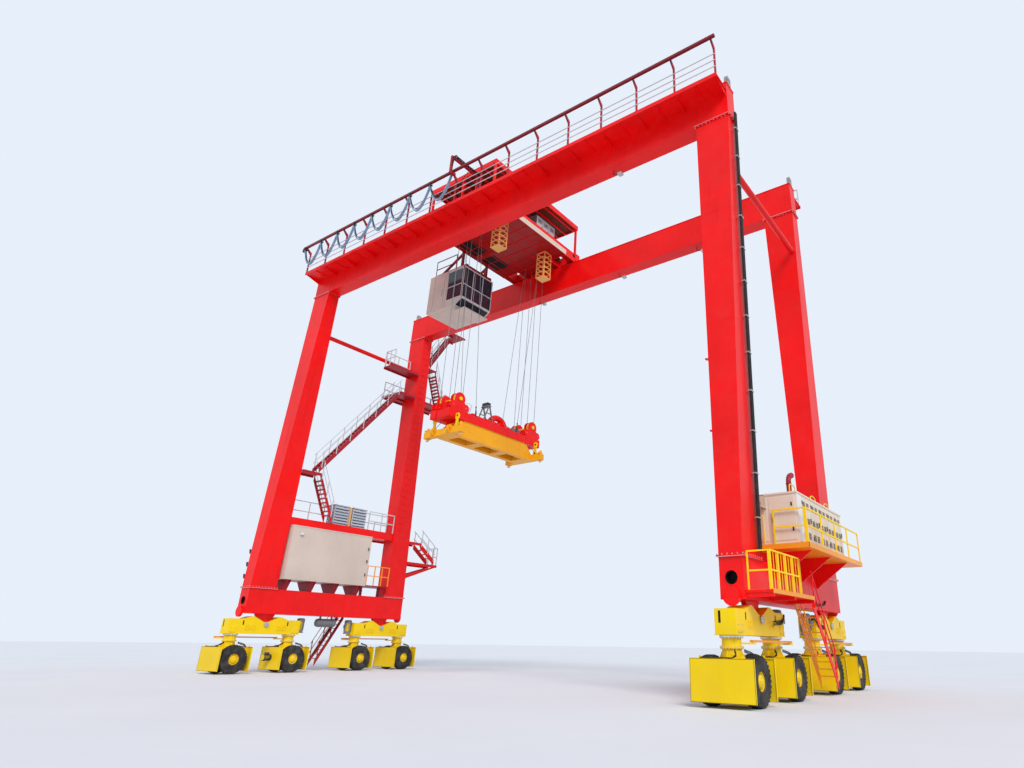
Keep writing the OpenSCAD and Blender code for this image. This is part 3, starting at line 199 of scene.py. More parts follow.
def many(rings):
    """Several closed skins at once: rings[n, k, m] holds n stacks of k rings of m points.
    The faces of the first stack are counted on for the others."""
    rings = np.asarray(rings, float)
    n, k, m = rings.shape[:3]
    _, loops, sizes = skin(rings[0])
    return rings.reshape(-1, 3), (loops + np.arange(n)[:, None] * k * m).ravel(), np.tile(sizes, n)


def box(x, y, z):
    """Boxes from the two ends of their stretches along x, y and z, in either order: each
    is two rings of four points, at its low z and at its high z."""
    ends = np.sort(np.stack(np.broadcast_arrays(*x, *y, *z), -1).astype(float).reshape(-1, 3, 2))
    rings = np.zeros((len(ends), 2, 4, 3))
    rings[..., 0] = ends[:, 0, [0, 1, 1, 0]][:, None]
    rings[..., 1] = ends[:, 1, [0, 0, 1, 1]][:, None]
    rings[..., 2] = ends[:, 2, :, None]
    return many(rings)


def square_to(along, hint):
    """Two unit vectors square to each row of along, the first one also square to hint."""
    along = along / np.linalg.norm(along, axis=1, keepdims=True)
    hint = np.where(np.abs((along * hint).sum(1, keepdims=True)) > 0.99, np.array([[1.0, 0.2, 0.0]]), hint)
    side = np.cross(along, hint)
    side /= np.linalg.norm(side, axis=1, keepdims=True)
    return side, np.cross(side, along)


def ends_of(a, b):
    """Two points or rows of points, as arrays of one length."""
    return np.broadcast_arrays(np.atleast_2d(np.asarray(a, float)), np.atleast_2d(np.asarray(b, float)))


def bars(a, b, radius, sides=8, end_radius=None):
    """Round bars from points a to points b: every ring lies square to its bar."""
    a, b = ends_of(a, b)
    side, up = square_to(b - a, np.array([[0.0, 0.0, 1.0]]))
    angle = round_angles(sides)
    circle = side[:, None] * np.cos(angle) + up[:, None] * np.sin(angle)
    return many(np.stack([a[:, None] + circle * radius, b[:, None] + circle * (end_radius or radius)], 1))


def beams(a, b, across, deep, hint=(0, 0, 1)):
    """Flat bars from a to b with a rectangle round each end: across is measured square to
    the hint vector, and deep along it."""
    a, b = ends_of(a, b)
    side, up = square_to(b - a, np.array([hint], float))
    s, u = side * across / 2, up * deep / 2
    ring = np.stack([-s - u, s - u, s + u, -s + u], 1)
    return many(np.stack([a[:, None] + ring, b[:, None] + ring], 1))


def pipe(path, radius, sides=8, closed=False):
    """A tube along a path: at each point a ring square to the path's direction there. One
    spare axis, the one that the path follows least, keeps the rings from twisting."""
    path = np.asarray(path, float)
    ahead = np.roll(path, -1, 0) - np.roll(path, 1, 0) if closed else np.gradient(path, axis=0)
    ahead /= np.linalg.norm(ahead, axis=1, keepdims=True)
    side = np.cross(ahead, np.eye(3)[np.argmin(np.abs(ahead).max(0))])
    side /= np.linalg.norm(side, axis=1, keepdims=True)
    up, angle = np.cross(ahead, side), round_angles(sides)
    return skin(path[:, None] + radius * (side[:, None] * np.cos(angle) + up[:, None] * np.sin(angle)), closed)


def tube(points, count, radius, sides):
    """A pipe along a smooth path of count rings through a few points: each span is a cubic
    whose slope at a point is half the step between that point's neighbours."""
    p = np.asarray(points, float)
    slope = np.gradient(p, axis=0)
    t = np.linspace(0, len(p) - 1, count)
    i = np.clip(t.astype(int), 0, len(p) - 2)
    f = (t - i)[:, None]
    return pipe((2 * f**3 - 3 * f**2 + 1) * p[i] + (f**3 - 2 * f**2 + f) * slope[i]
                + (3 * f**2 - 2 * f**3) * p[i + 1] + (f**3 - f**2) * slope[i + 1], radius, sides)


def turned(profile, centre, axis="x", sides=32, flip=1):
    """A profile of (radius, height) rows turned round an axis through centre. A profile
    that comes back to its start is a ring with a hole; else its ends are closed. A flip
    of -1 turns the heights over."""
    profile = np.asarray(profile, float) * (1, flip)
    ring = np.allclose(profile[0], profile[-1])
    radius, height = profile[:len(profile) - ring, :, None].transpose(1, 0, 2)
    angle = round_angles(sides).T
    return skin(on_axis(axis, height, radius * np.cos(angle), radius * np.sin(angle)) + np.asarray(centre, float),
                ring)


def lathe(profile, *where, **more):
    """A turned solid: the profile is closed with a flat face at both ends."""
    return turned([(0, profile[0][1]), *profile, (0, profile[-1][1])], *where, **more)


def hoop(inner, outer, a, b, centre, axis="x", sides=28):
    """A flat ring from a to b along its axis, and a disc where the inner radius is 0."""
    profile = [(inner, a), (outer, a), (outer, b), (inner, b)]
    return turned(profile + profile[:1] * (inner > 0), centre, axis, sides)


def spokes(section, low, high, count, centre, axis):
    """Blocks round an axis: a corner of the section is a radius and a step to the side."""
    radius, step = np.array(section, float).T
    angle = round_angles(count)[..., None]
    a = radius * np.cos(angle) - step * np.sin(angle)
    b = radius * np.sin(angle) + step * np.cos(angle)
    return many(on_axis(axis, [[low], [high]], a, b) + np.asarray(centre, float))


def plate(outline, low, high, axis="y"):
    """A flat outline, drawn along the other two axes, given a thickness along this one."""
    return skin([np.insert(np.asarray(outline, float), "xyz".index(axis), at, 1) for at in (low, high)])


def bolts(places, axis="x", size=0.018, proud=0.014):
    """Hexagon heads: six-sided bars that stand along an axis, out from each place."""
    step = on_axis(axis, proud, 0, 0)
    return bars(places - step * 0.15, places + step, size, 6)


def ring_of(count, radius, centre, axis="x"):
    """Places spaced evenly round a circle."""
    angle = round_angles(count)[:, 0]
    return on_axis(axis, 0, radius * np.cos(angle), radius * np.sin(angle)) + np.asarray(centre, float)


def louvres(section, face, out, y0, y1, z):
    """Slats along y, one at each z: the section's corners are steps out and up."""
    dx, dz = np.array(section, float).T
    return many(rows(face + out * dx, [[y0], [y1]], z[:, None, None] + dz))


made = {}


def piece(body, name, shape, finish, slot=None, at=(0, 0, 0), replaces=(), sharp=35, soften=0.0, blend=None):
    """Puts a shape, drawn round the point at, into a mesh, gives it its finish, and lets it
    ride on a body; with blend it is baked in place and rides on none."""
    points, loops, sizes = join(*shape) if isinstance(shape, list) else shape
    mesh = bpy.data.meshes.new(name)
    for items, count in ((mesh.vertices, len(points)), (mesh.loops, len(loops)), (mesh.polygons, len(sizes))):
        items.add(count)
    mesh.vertices.foreach_set("co", np.ascontiguousarray(points + at, np.float32).ravel())
    mesh.loops.foreach_set("vertex_index", np.ascontiguousarray(loops, np.int32))
    mesh.polygons.foreach_set("loop_start", np.ascontiguousarray(np.cumsum(sizes) - sizes, np.int32))
    mesh.update(calc_edges=True)
    mesh.validate()
    mesh.shade_smooth()
    mesh.set_sharp_from_angle(angle=math.radians(sharp))
    mesh.materials.append(finish)
    thing = bpy.data.objects.new(name, mesh)
    bpy.context.scene.collection.objects.link(thing)
    if soften:
        bevel = thing.modifiers.new("edges", "BEVEL")
        bevel.width, bevel.segments, bevel.limit_method = soften, 2, "ANGLE"
        bevel.angle_limit = math.radians(40)
    if blend:
        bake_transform(thing)
    else:
        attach(thing, body)
    slot = slot or usual_slot[finish.name]
    if replaces:
        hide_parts(*replaces)
    made[name] = len(sizes)
    print(name, "faces", len(sizes))
    return thing


print("shape tools ready")

# %% [markdown]
# ## Writing materials as sums
# A material is a small program. Wire wraps one socket so that ordinary arithmetic adds
# the Math nodes, and Finish keeps the material and adds every other node. Colours go
# through a Mix node, because a Math node would turn them grey.

# %% Wires and finishes
class Wire:
    """One value in a material: arithmetic on it adds Math nodes."""

    def __init__(self, finish, socket):
        self.finish, self.socket = finish, socket

    def math(self, operation, *values):
        return self.finish.node("ShaderNodeMath", {"operation": operation}, dict(enumerate(values)))[0]

    def __add__(self, other):
        return self.math("ADD", self, other)

    def __mul__(self, other):
        return self.math("MULTIPLY", self, other)

    def __sub__(self, other):
        return self.math("SUBTRACT", self, other)

    def __rsub__(self, other):
        return self.math("SUBTRACT", other, self)

    def __gt__(self, other):
        return self.math("GREATER_THAN", self, other)

    def __lt__(self, other):
        return self.math("LESS_THAN", self, other)

    __radd__, __rmul__ = __add__, __mul__


class Finish:
    """A material: node() adds a node, and the helpers below name the usual ones."""

    def __init__(self, name, constants):
        self.material = bpy.data.materials.new(name)
        self.material.use_nodes = True
        self.tree = self.material.node_tree
        self.shader = self.tree.nodes["Principled BSDF"]
        for key, value in constants.items():
            self.shader.inputs[key].default_value = value
        self.place = self.node("ShaderNodeTexCoord")[3]
        self.x, self.y, self.z = self.node("ShaderNodeSeparateXYZ", {}, {0: self.place})[:3]

    def node(self, kind, settings=None, inputs=None):
        node = self.tree.nodes.new(kind)
        for key, value in (settings or {}).items():
            setattr(node, key, value)
        for key, value in (inputs or {}).items():
            self.feed(node.inputs[key], value)
        return [Wire(self, socket) for socket in node.outputs]

    def feed(self, socket, value):
        if isinstance(value, Wire):
            self.tree.links.new(value.socket, socket)
        else:
            socket.default_value = value

    def set(self, **inputs):
        for key, value in inputs.items():
            self.feed(self.shader.inputs[key.replace("_", " ")], value)
        return self.material

    def stretch(self, x, y, z):
        return self.node("ShaderNodeVectorMath", {"operation": "MULTIPLY"}, {0: self.place, 1: (x, y, z)})[0]

    def noise(self, scale, detail=3.0, rough=0.5, where=None):
        return self.node("ShaderNodeTexNoise", {}, {"Vector": where or self.place, "Scale": scale,
                                                    "Detail": detail, "Roughness": rough})[0]

    def cells(self, scale):
        return self.node("ShaderNodeTexVoronoi", {}, {"Vector": self.place, "Scale": scale})[0]

    def level(self, value, low, high):
        return self.node("ShaderNodeMapRange", {}, {0: value, 1: low, 2: high})[0]

    def mix(self, factor, a, b):
        a, b = (end if isinstance(end, Wire) else (*end[:3], 1) for end in (a, b))
        return self.node("ShaderNodeMix", {"data_type": "RGBA"}, {0: factor, 6: a, 7: b})[2]

    def bump(self, height, strength, distance=0.01):
        return self.node("ShaderNodeBump", {}, {"Strength": strength, "Distance": distance, "Height": height})[0]


def shade(colour, factor):
    """The colour, each part multiplied by the factor."""
    return tuple(min(1.0, part * factor) for part in colour)


print("material tools ready")

# %% [markdown]
# ## Paint
# The crane is sprayed with thick gloss paint over welded plate. From near, such paint
# shows a faint orange-peel skin, plates that differ a little in tone, runs of dirt
# under edges, and road dust on what stands near the ground. One function makes them
# all, so every colour is aged alike. Where one solid has several colours, masks cut by
# x, y and z choose between them.

# %% Paint
DUST = (0.42, 0.37, 0.32)
RED, MAROON, YELLOW = (0.95, 0.0008, 0.0016), (0.33, 0.008, 0.018), (1.0, 0.68, 0.001)
ORANGE, CREAM, SLATE = (0.95, 0.34, 0.012), (0.80, 0.70, 0.58), (0.28, 0.33, 0.42)
PALE_RAIL = (0.60, 0.63, 0.66)


def paint(name, colour, rough=0.38, dusty=0.45, runs=0.3, coat=0.12, by_place=None):
    """Base colour: two tones by a broad noise, darker runs drawn down by a noise that is
    stretched along z, then dust that grows towards the ground and in fine specks."""
    f = Finish(name, {"Coat Roughness": 0.18, "Specular IOR Level": 0.22})
    broad = f.level(f.noise(0.35, 4, 0.55), 0.3, 0.7)
    fine = f.noise(22, 4, 0.6)
    run = f.level(f.noise(1.0, 5, 0.65, f.stretch(5.0, 5.0, 0.22)), 0.56, 0.82) * runs
    low = f.level(f.z, 2.2, -0.3)
    speck = f.level(fine * 0.6 + f.noise(2.5, 3) * 0.4, 0.45, 0.68)
    base = by_place(f) if by_place else f.mix(broad, shade(colour, 0.86), shade(colour, 1.06))
    base = f.mix(run, base, shade(colour, 0.45))
    base = f.mix(low * speck * dusty + speck * 0.035, base, DUST)
    height = f.noise(95, 2) * 0.25 + f.noise(1.3, 2) * 1.6
    return f.set(Base_Color=base, Roughness=rough + fine * 0.12 + run * 0.3 + low * speck * 0.2,
                 Coat_Weight=coat - run * 0.4, Normal=f.bump(height, 0.22, 0.004))


def deck_by_place(f):
    """Orange edge on the upper deck, red brackets and lower walkway."""
    return f.mix(f.z > 4.34, RED, ORANGE)


def ground_stairs_by_place(f):
    """Orange on the right with its outer stringer red, maroon on the left."""
    return f.mix(f.x < 0.0, f.mix(f.x > 14.33, ORANGE, RED), MAROON)


def festoon_by_place(f):
    """Pale thin rails, crimson posts and a darker track."""
    base = f.mix(f.y < -5.2, (0.42, 0.006, 0.02), (0.20, 0.010, 0.02))
    return f.mix((f.y < -5.0465) * (f.y > -5.10) * (f.z < 23.7), base, PALE_RAIL)


def trolley_by_place(f):
    """Red frame, darkened below the deck as painted shade, and a maroon towing arm
    outside the near end truck."""
    # Below z 23.01 the red is darkened: painted shade on the frame's underside.
    base = f.mix(f.z < 23.01, RED, (0.34, 0.0, 0.0005))
    return f.mix((f.y < -3.69) * (f.z > 23.62) * (f.x > -1.2), base, MAROON)


def power_by_place(f):
    """Cream housing, a tan hood at the near end, and a maroon exhaust above the roof."""
    return f.mix(f.z > 6.163, f.mix(f.y < -2.51, CREAM, (0.52, 0.40, 0.30)), MAROON)


def resistors_by_place(f):
    """Blue grey cases, and the tan post between them."""
    return f.mix((f.y > 0.13) * (f.y < 0.32), SLATE, (0.72, 0.42, 0.20))


def rails_by_place(f):
    """Yellow low at the right end, orange on the low left balcony, else pale grey."""
    base = f.mix((f.x > 0.0) * (f.z < 11.0), PALE_RAIL, YELLOW)
    return f.mix((f.x < -12.4) * (f.z < 5.9), base, ORANGE)


def stairs_by_place(f):
    """Bright red landings and lower flights, darker where the flights pass high up."""
    return f.mix(f.level(f.z, 8.0, 9.5), shade(RED, 0.75), shade(MAROON, 1.25))


red = paint("red_gloss", RED)
maroon = paint("maroon_gloss", MAROON)
stair_red = paint("stair_red", MAROON, by_place=stairs_by_place)
deck_paint = paint("deck_paint", ORANGE, by_place=deck_by_place)
ground_stair_paint = paint("ground_stair_paint", ORANGE, by_place=ground_stairs_by_place)
festoon_paint = paint("festoon_paint", MAROON, by_place=festoon_by_place, runs=0.15)
trolley_red = paint("trolley_red", RED, by_place=trolley_by_place)
yellow = paint("yellow_gloss", YELLOW, dusty=0.05, runs=0.16, coat=0.06)
rail_paint = paint("rail_paint", YELLOW, by_place=rails_by_place, runs=0.12)
orange = paint("orange_gloss", ORANGE)
spreader_orange = paint("spreader_orange", (1.0, 0.44, 0.006), runs=0.16)
beige = paint("beige_gloss", (0.68, 0.58, 0.50), rough=0.42, runs=0.16, coat=0.15)
cream = paint("cream_gloss", CREAM, rough=0.4, runs=0.12)
white = paint("white_gloss", (0.82, 0.82, 0.84), runs=0.1)
grey = paint("grey_gloss", (0.20, 0.22, 0.25), runs=0.2)
pale_grey = paint("pale_rail_grey", PALE_RAIL, runs=0.12)
dark_grey = paint("motor_dark", (0.035, 0.037, 0.042), rough=0.45, runs=0.1)
brown = paint("roof_lining", (0.16, 0.045, 0.022), rough=0.55, runs=0.3, coat=0.05)
slat_grey = paint("slat_grey", (0.50, 0.55, 0.62), rough=0.4, runs=0.15)
resistor_paint = paint("resistor_paint", SLATE, by_place=resistors_by_place)
cage_orange = paint("cage_orange", (0.93, 0.46, 0.12), dusty=0.1, runs=0.2)
power_paint = paint("power_paint", CREAM, rough=0.4, runs=0.12, by_place=power_by_place)
vent_tan = paint("vent_tan", (0.20, 0.15, 0.10), rough=0.5, runs=0.1)
print("paints:", len(bpy.data.materials))

# %% [markdown]
# ## Bare metal, rubber and glass
# Rails and sheaves are rubbed bright where they run. Tyre rubber is matt, with dust in
# its grooves. The cab's glass is tinted, so it keeps some see-through and a sharp
# gloss. Cables have a dull plastic skin.

# %% Metal, rubber and glass
def metal(name, colour, rough, grain=(60, 60, 60), rust=0.0, metallic=0.9):
    """Metal with a fine grain noise, stretched as it was rubbed, and rust in patches."""
    f = Finish(name, {"Metallic": metallic})
    scratch = f.noise(1.0, 3, 0.6, f.stretch(*grain))
    patch = f.level(f.noise(3.5, 5, 0.65), 0.5, 0.72) * rust
    base = f.mix(patch, f.mix(scratch, shade(colour, 0.8), shade(colour, 1.1)), (0.17, 0.06, 0.025))
    return f.set(Base_Color=base, Metallic=metallic - patch * 0.8, Roughness=rough + scratch * 0.15 + patch * 0.3,
                 Normal=f.bump(scratch + patch, 0.2, 0.002))


def rubber(name, colour, dust, scale=40.0):
    """Matt black with dust: a cell pattern makes the pitting, a broad noise the dust."""
    f = Finish(name, {"Specular IOR Level": 0.3})
    film = f.level(f.noise(3, 4, 0.6), 0.42, 0.75) * dust
    return f.set(Base_Color=f.mix(film, colour, (0.20, 0.18, 0.16)), Roughness=0.62 + f.noise(scale) * 0.22,
                 Normal=f.bump(f.cells(scale * 4) * 0.4 + f.noise(scale), 0.3, 0.002))


def glass(name, colour, alpha):
    """Tinted glass: a low roughness with faint smears, seen through by its alpha."""
    f = Finish(name, {"Alpha": alpha, "Specular IOR Level": 0.7})
    smear = f.noise(2.5, 5, 0.7)
    return f.set(Base_Color=f.mix(smear, shade(colour, 0.7), shade(colour, 1.3)), Roughness=0.04 + smear * 0.06,
                 Normal=f.bump(f.noise(1.1, 1), 0.08, 0.004))


rail_steel = metal("rail_head_steel", (0.42, 0.41, 0.40), 0.28, (3, 90, 90), rust=0.75)
bright_steel = metal("flange_steel", (0.72, 0.72, 0.74), 0.3, (40, 40, 40), rust=0.12)
zinc = metal("galvanised_steel", (0.56, 0.58, 0.60), 0.42, (25, 25, 25), rust=0.05)
rope_steel = metal("rope_steel", (0.28, 0.28, 0.29), 0.45, (30, 30, 240), metallic=0.7)
bolt_steel = metal("bolt_zinc", (0.50, 0.50, 0.50), 0.38, (80, 80, 80), rust=0.2)
tyre = rubber("tyre_rubber_dusty", (0.022, 0.022, 0.024), 0.35)
black_cable = rubber("black_cable_sheath", (0.016, 0.016, 0.018), 0.12)
blue_cable = rubber("blue_cable_sheath", (0.30, 0.46, 0.66), 0.1)
# Near black used as painted shade: the dark inside of holes, slots, eyes, vents and recesses. It also colours the
# house's dark panel joints.
shade_and_joint_black = rubber("painted_shade_and_joints", (0.006, 0.006, 0.007), 0.02)
dark_glass = glass("cab_tinted_glass", (0.030, 0.048, 0.068), 0.82)
lamp_glass = glass("lamp_glass", (0.75, 0.78, 0.80), 0.9)

concrete = Finish("pale_ground", {"Specular IOR Level": 0.15})
floor.data.materials.append(concrete.set(
    Base_Color=concrete.mix(concrete.noise(0.12, 5, 0.6), (0.70, 0.74, 0.80), (0.80, 0.83, 0.88)),
    Roughness=0.75 + concrete.noise(0.9, 4) * 0.2, Normal=concrete.bump(concrete.noise(0.8, 5), 0.15, 0.02)))
print("finishes:", len(bpy.data.materials))

# %% [markdown]
# ## Dressing the frame's own nodes
# A solid whose shape is right stays as it is and only gets a finish. The finish follows
# its slot, except where the real crane paints one piece differently. The other way
# round, a table lists the slot that each new finish mostly stands for.

# %% Dress the nodes
slot_finish = {
    "red_paint": red, "maroon_paint": maroon, "yellow_paint": yellow, "orange_paint": orange,
    "beige_paint": beige, "grey_paint": grey, "rail_steel": rail_steel, "tyre_rubber": tyre,
    "cab_glass": dark_glass, "cable_rubber": black_cable, "festoon_rubber": blue_cable}
special = {
    "guard_rails": rail_paint, "left_stairs": stair_red, "spreader": spreader_orange, "power_house": power_paint,
    "resistor_bank": resistor_paint, "access_cages": cage_orange, "house_trestles": maroon,
    "power_deck": deck_paint, "ground_stair": ground_stair_paint, "festoon_track": festoon_paint,
    "trolley_frame": trolley_red}
usual_slot = {finish.name: slot for slot, finishes in {
    "red_paint": (red, maroon, brown), "yellow_paint": (yellow,), "orange_paint": (orange, spreader_orange),
    "beige_paint": (beige, cream, white), "tyre_rubber": (tyre,), "festoon_rubber": (blue_cable,),
    "rail_steel": (bright_steel, bolt_steel, rope_steel), "cable_rubber": (black_cable, shade_and_joint_black),
    "grey_paint": (grey, dark_grey, pale_grey, slat_grey, vent_tan, zinc, lamp_glass)}.items()
    for finish in finishes}
for part in frame["record"]["subparts"]:
    node = frame["nodes"][part["node"]]
    look = special.get(part["node"], slot_finish[part["material_slot"]])
    for index in range(len(node.material_slots)):
        node.material_slots[index].material = look
    if not node.material_slots:
        node.data.materials.append(look)
print("dressed", len(frame["nodes"]), "nodes")

# %% [markdown]
# ## Tyres and hubs
# Each of the sixteen tyres is a ring: one profile turned round the axle. The tread is
# not painted on. It is two rows of slanting lugs, each row a single small block that is
# repeated round the tyre by arithmetic on its angle, so every groove has real depth.
# One wheelset is drawn round the middle of its axle and used at all eight places.

# %% Tyres and hubs
SPAN_X, PIN_Y, UNIT_Y = 13.25, 3.53, 1.51
AXLE_Z, TRACK = 0.645, 0.66
corners = {"near_right": (1, -1), "far_right": (1, 1), "near_left": (-1, -1), "far_left": (-1, 1)}
units = dict(enumerate(product((SPAN_X, -SPAN_X), (-PIN_Y - UNIT_Y, -PIN_Y + UNIT_Y, PIN_Y - UNIT_Y,
                                                   PIN_Y + UNIT_Y)), 1))
half_tyre = [(0.232, 0.11), (0.245, 0.15), (0.30, 0.168), (0.36, 0.178), (0.45, 0.19), (0.53, 0.187),
             (0.585, 0.172), (0.612, 0.15), (0.62, 0.1)]
carcass = [(radius, -side) for radius, side in half_tyre] + half_tyre[::-1] + [(0.232, -0.11)]


def lugs(s, count=28, half=0.062):
    """Tread blocks on one half of a tyre. A block's ends are at the middle and at the
    shoulder, and its angle grows with the distance between, which slants it."""
    angle = round_angles(count) + np.array([0.0, 0.035, 0.10]) + (s > 0) * 0.11
    low, high = np.array([0.60, 0.60, 0.565]), np.array([0.6445, 0.643, 0.622])
    return many(np.stack([rows(s * np.array([0.012, 0.10, 0.178]), radius * np.cos(angle + turn),
                               radius * np.sin(angle + turn)) for turn, radius in
                          ((-half, low), (half, low), (half * 0.8, high), (-half * 0.8, high))], 2))


def sidewall_ribs(s):
    """Two raised rings on the sidewall, each a small round profile turned round the axle."""
    a = np.linspace(0, 2 * np.pi, 7)
    return join(*(turned(np.stack([radius + 0.012 * np.cos(a), s * out + 0.004 * np.sin(a)], 1), (0, 0, 0), "x", 48)
                  for radius, out in ((0.40, 0.1835), (0.50, 0.190))))


# Rim, dish and hub cap: the first line is the inner face, the last the cap outside.
hub_profile = [(0.0, -0.15), (0.10, -0.15), (0.12, -0.10), (0.215, -0.10), (0.235, -0.125), (0.255, -0.155),
               (0.256, -0.15), (0.236, -0.115), (0.236, 0.115), (0.256, 0.15), (0.255, 0.155), (0.235, 0.125),
               (0.225, 0.075), (0.205, 0.06), (0.185, 0.062), (0.175, 0.075), (0.155, 0.135), (0.135, 0.158),
               (0.075, 0.162), (0.07, 0.178), (0.045, 0.183), (0.0, 0.184)]
tyres, hubs, nuts = [], [], []
for s in (-1, 1):
    centre = (s * TRACK, 0, 0)
    tyres += [moved(part, centre) for part in (turned(carcass, (0, 0, 0), "x", 56), lugs(1), lugs(-1),
                                               sidewall_ribs(1), sidewall_ribs(-1))]
    hubs.append(turned(hub_profile, centre, "x", 40, s))
    nuts += [bolts(ring_of(10, 0.196, (s * (TRACK + 0.06), 0, 0)), "x", 0.013, s * 0.026),
             bolts(ring_of(6, 0.11, (s * (TRACK + 0.16), 0, 0)), "x", 0.011, s * 0.012)]
hubs.append(bars((-TRACK, 0, 0), (TRACK, 0, 0), 0.078, 24))
for i, place in units.items():
    put = partial(piece, f"wheelset_{i}", at=(*place, AXLE_Z))
    put(f"tyres_{i}", tyres, tyre, replaces=[f"wheels_{i}"], sharp=28)
    put(f"hubs_{i}", hubs, yellow)
    put(f"wheel_nuts_{i}", nuts, bolt_steel)

# %% [markdown]
# ## Wheel units
# A unit steers about its king post. The real one shows bolted flanges with a bright
# machined edge, folded lips round the guard plates, lifting lugs, and hoses that lie
# along the top of the plates. The drive motors have cooling fins: flat ribs that stand
# on a round body, placed by their angle.

# %% Wheel units
GUARD_HALF, GUARD_Y, GUARD_LOW, GUARD_TOP, MOTOR_Z = 0.93, 0.76, 0.13, 1.20, 0.705


def fins(centre, axis, inner, outer, low, high, count, half=0.0035):
    """Ribs along a motor: each is a thin box from the inner to the outer radius."""
    return spokes([(inner, -half), (outer, -half), (outer, half), (inner, half)], low, high, count, centre, axis)


lips, hoses = [], []
wave = np.linspace(-0.62, 0.30, 14)
for s in (-1, 1):
    face, sheet = s * GUARD_Y, (s * (GUARD_Y - 0.05), s * GUARD_Y)
    lips += [box((-GUARD_HALF, GUARD_HALF), sheet, (GUARD_TOP - 0.012, GUARD_TOP + 0.004)),
             box((-GUARD_HALF, GUARD_HALF), sheet, (GUARD_LOW - 0.002, GUARD_LOW + 0.012))]
    for t in (-1, 1):
        lips += [box((t * (GUARD_HALF - 0.012), t * (GUARD_HALF + 0.003)), sheet, (GUARD_LOW, GUARD_TOP)),
                 box(about(t * 0.45, 0.008), (s * 0.30, face - s * 0.016), (0.62, 1.10)),
                 moved(plate([(-0.05, 0), (0.05, 0), (0.035, 0.07), (-0.035, 0.07)], -0.008, 0.008),
                       (t * 0.62, face - s * 0.03, GUARD_TOP))]
    ledge = face - s * 0.012
    for k in range(3):
        lying = rows(wave, ledge - s * 0.018 * k, GUARD_TOP + 0.019 + 0.004 * np.sin(wave * 9 + k))
        hoses.append(tube([*lying, (0.37, ledge - s * 0.16, 1.26 + 0.03 * k), (0.22, s * 0.33, 1.36 + 0.03 * k)],
                          44, 0.013, 7))
flanges = [bolts(ring_of(18, 0.302, (0, 0, z), "z"), "z", 0.017, proud)
           for z, proud in ((1.50, 0.018), (1.45, -0.018), (1.724, -0.02))]
flanges.append(hoop(0.31, 0.334, 1.735, 1.775, (0, 0, 0), "z", 48))
for i, (x, y) in units.items():
    put = partial(piece, f"steering_{i}", at=(x, y, 0))
    put(f"guard_lips_{i}", lips, yellow)
    put(f"unit_bolts_{i}", flanges, bright_steel)
    put(f"unit_hoses_{i}", hoses, black_cable, sharp=60)
    if abs(y) < PIN_Y:
        low, high = sorted((np.sign(y) * 0.80, np.sign(y) * 1.13))
        put(f"drive_motor_{i}", [
            fins((0, 0, MOTOR_Z), "y", 0.125, 0.152, low, high, 30),
            lathe([(0.148, low - 0.01), (0.148, low + 0.02), (0.13, low + 0.03)], (0, 0, MOTOR_Z), "y", 28),
            lathe([(0.155, high - 0.06), (0.155, high + 0.02), (0.14, high + 0.035)], (0, 0, MOTOR_Z), "y", 28),
            box((-0.08, 0.08), about((low + high) / 2, 0.09), (0.84, 0.94)),
            box((-0.12, 0.12), (low + 0.02, low + 0.06), (0.535, 0.60))], dark_grey)

# %% [markdown]
# ## Equalizers and their motors
# The equalizer is a deep welded box with slots cut in its ends, bolted pads and step
# irons on its sides. Here the slots are near black boxes, painted shade for the openings.
# Beside it stands the upright steering motor with fins, a bell top and a terminal box,
# and hoses climb from it to the sill beam.

# %% Equalizers
EQUALIZER_HALF, MOTOR_Y = 0.32, 2.07
slots, pads, pad_bolts, irons = [], [], [], []
for t in (-1, 1):
    # Near black boxes for the slots: painted shade standing in for the openings.
    slots.append(box((-0.20, -0.13), (t * 1.87 - 0.003, t * 1.874 + 0.003), (2.10, 2.42)))
    for face in (-1, 1):
        wall, pad_x = face * EQUALIZER_HALF, face * (EQUALIZER_HALF + 0.022)
        pads.append(box((wall - 0.002, pad_x), about(t * 1.62, 0.17), (1.86, 2.10)))
        pad_bolts.append(bolts([(pad_x, t * 1.62 + u * 0.13, 1.98 + v * 0.085)
                                for u, v in product((-1, 1), (-1, 1))],
                               "x", 0.014, face * 0.014))
        slots.append(box((wall - 0.002, wall + face * 0.004), about(t * 1.16, 0.03), (2.20, 2.40)))
        for y in (0.95, 0.67):
            iron = rows(wall + face * np.array([0, 0.05, 0.05, 0]), t * y + np.array([-0.09, -0.09, 0.09, 0.09]),
                        2.02)
            irons += [bars(iron[:3] + (0, 0, dz), iron[1:] + (0, 0, dz), 0.009, 6) for dz in (0, 0.16)]
            irons.append(bars(iron[1:3], iron[1:3] + (0, 0, 0.16), 0.009, 6))
        irons.append(beams((wall + face * 0.006, t * 1.15, 1.797), (wall + face * 0.006, t * 1.87, 1.797), 0.02,
                           0.02))
irons.append(box((-0.335, 0.335), ([-1.88, 1.14], [-1.14, 1.88]), (1.792, 1.812)))
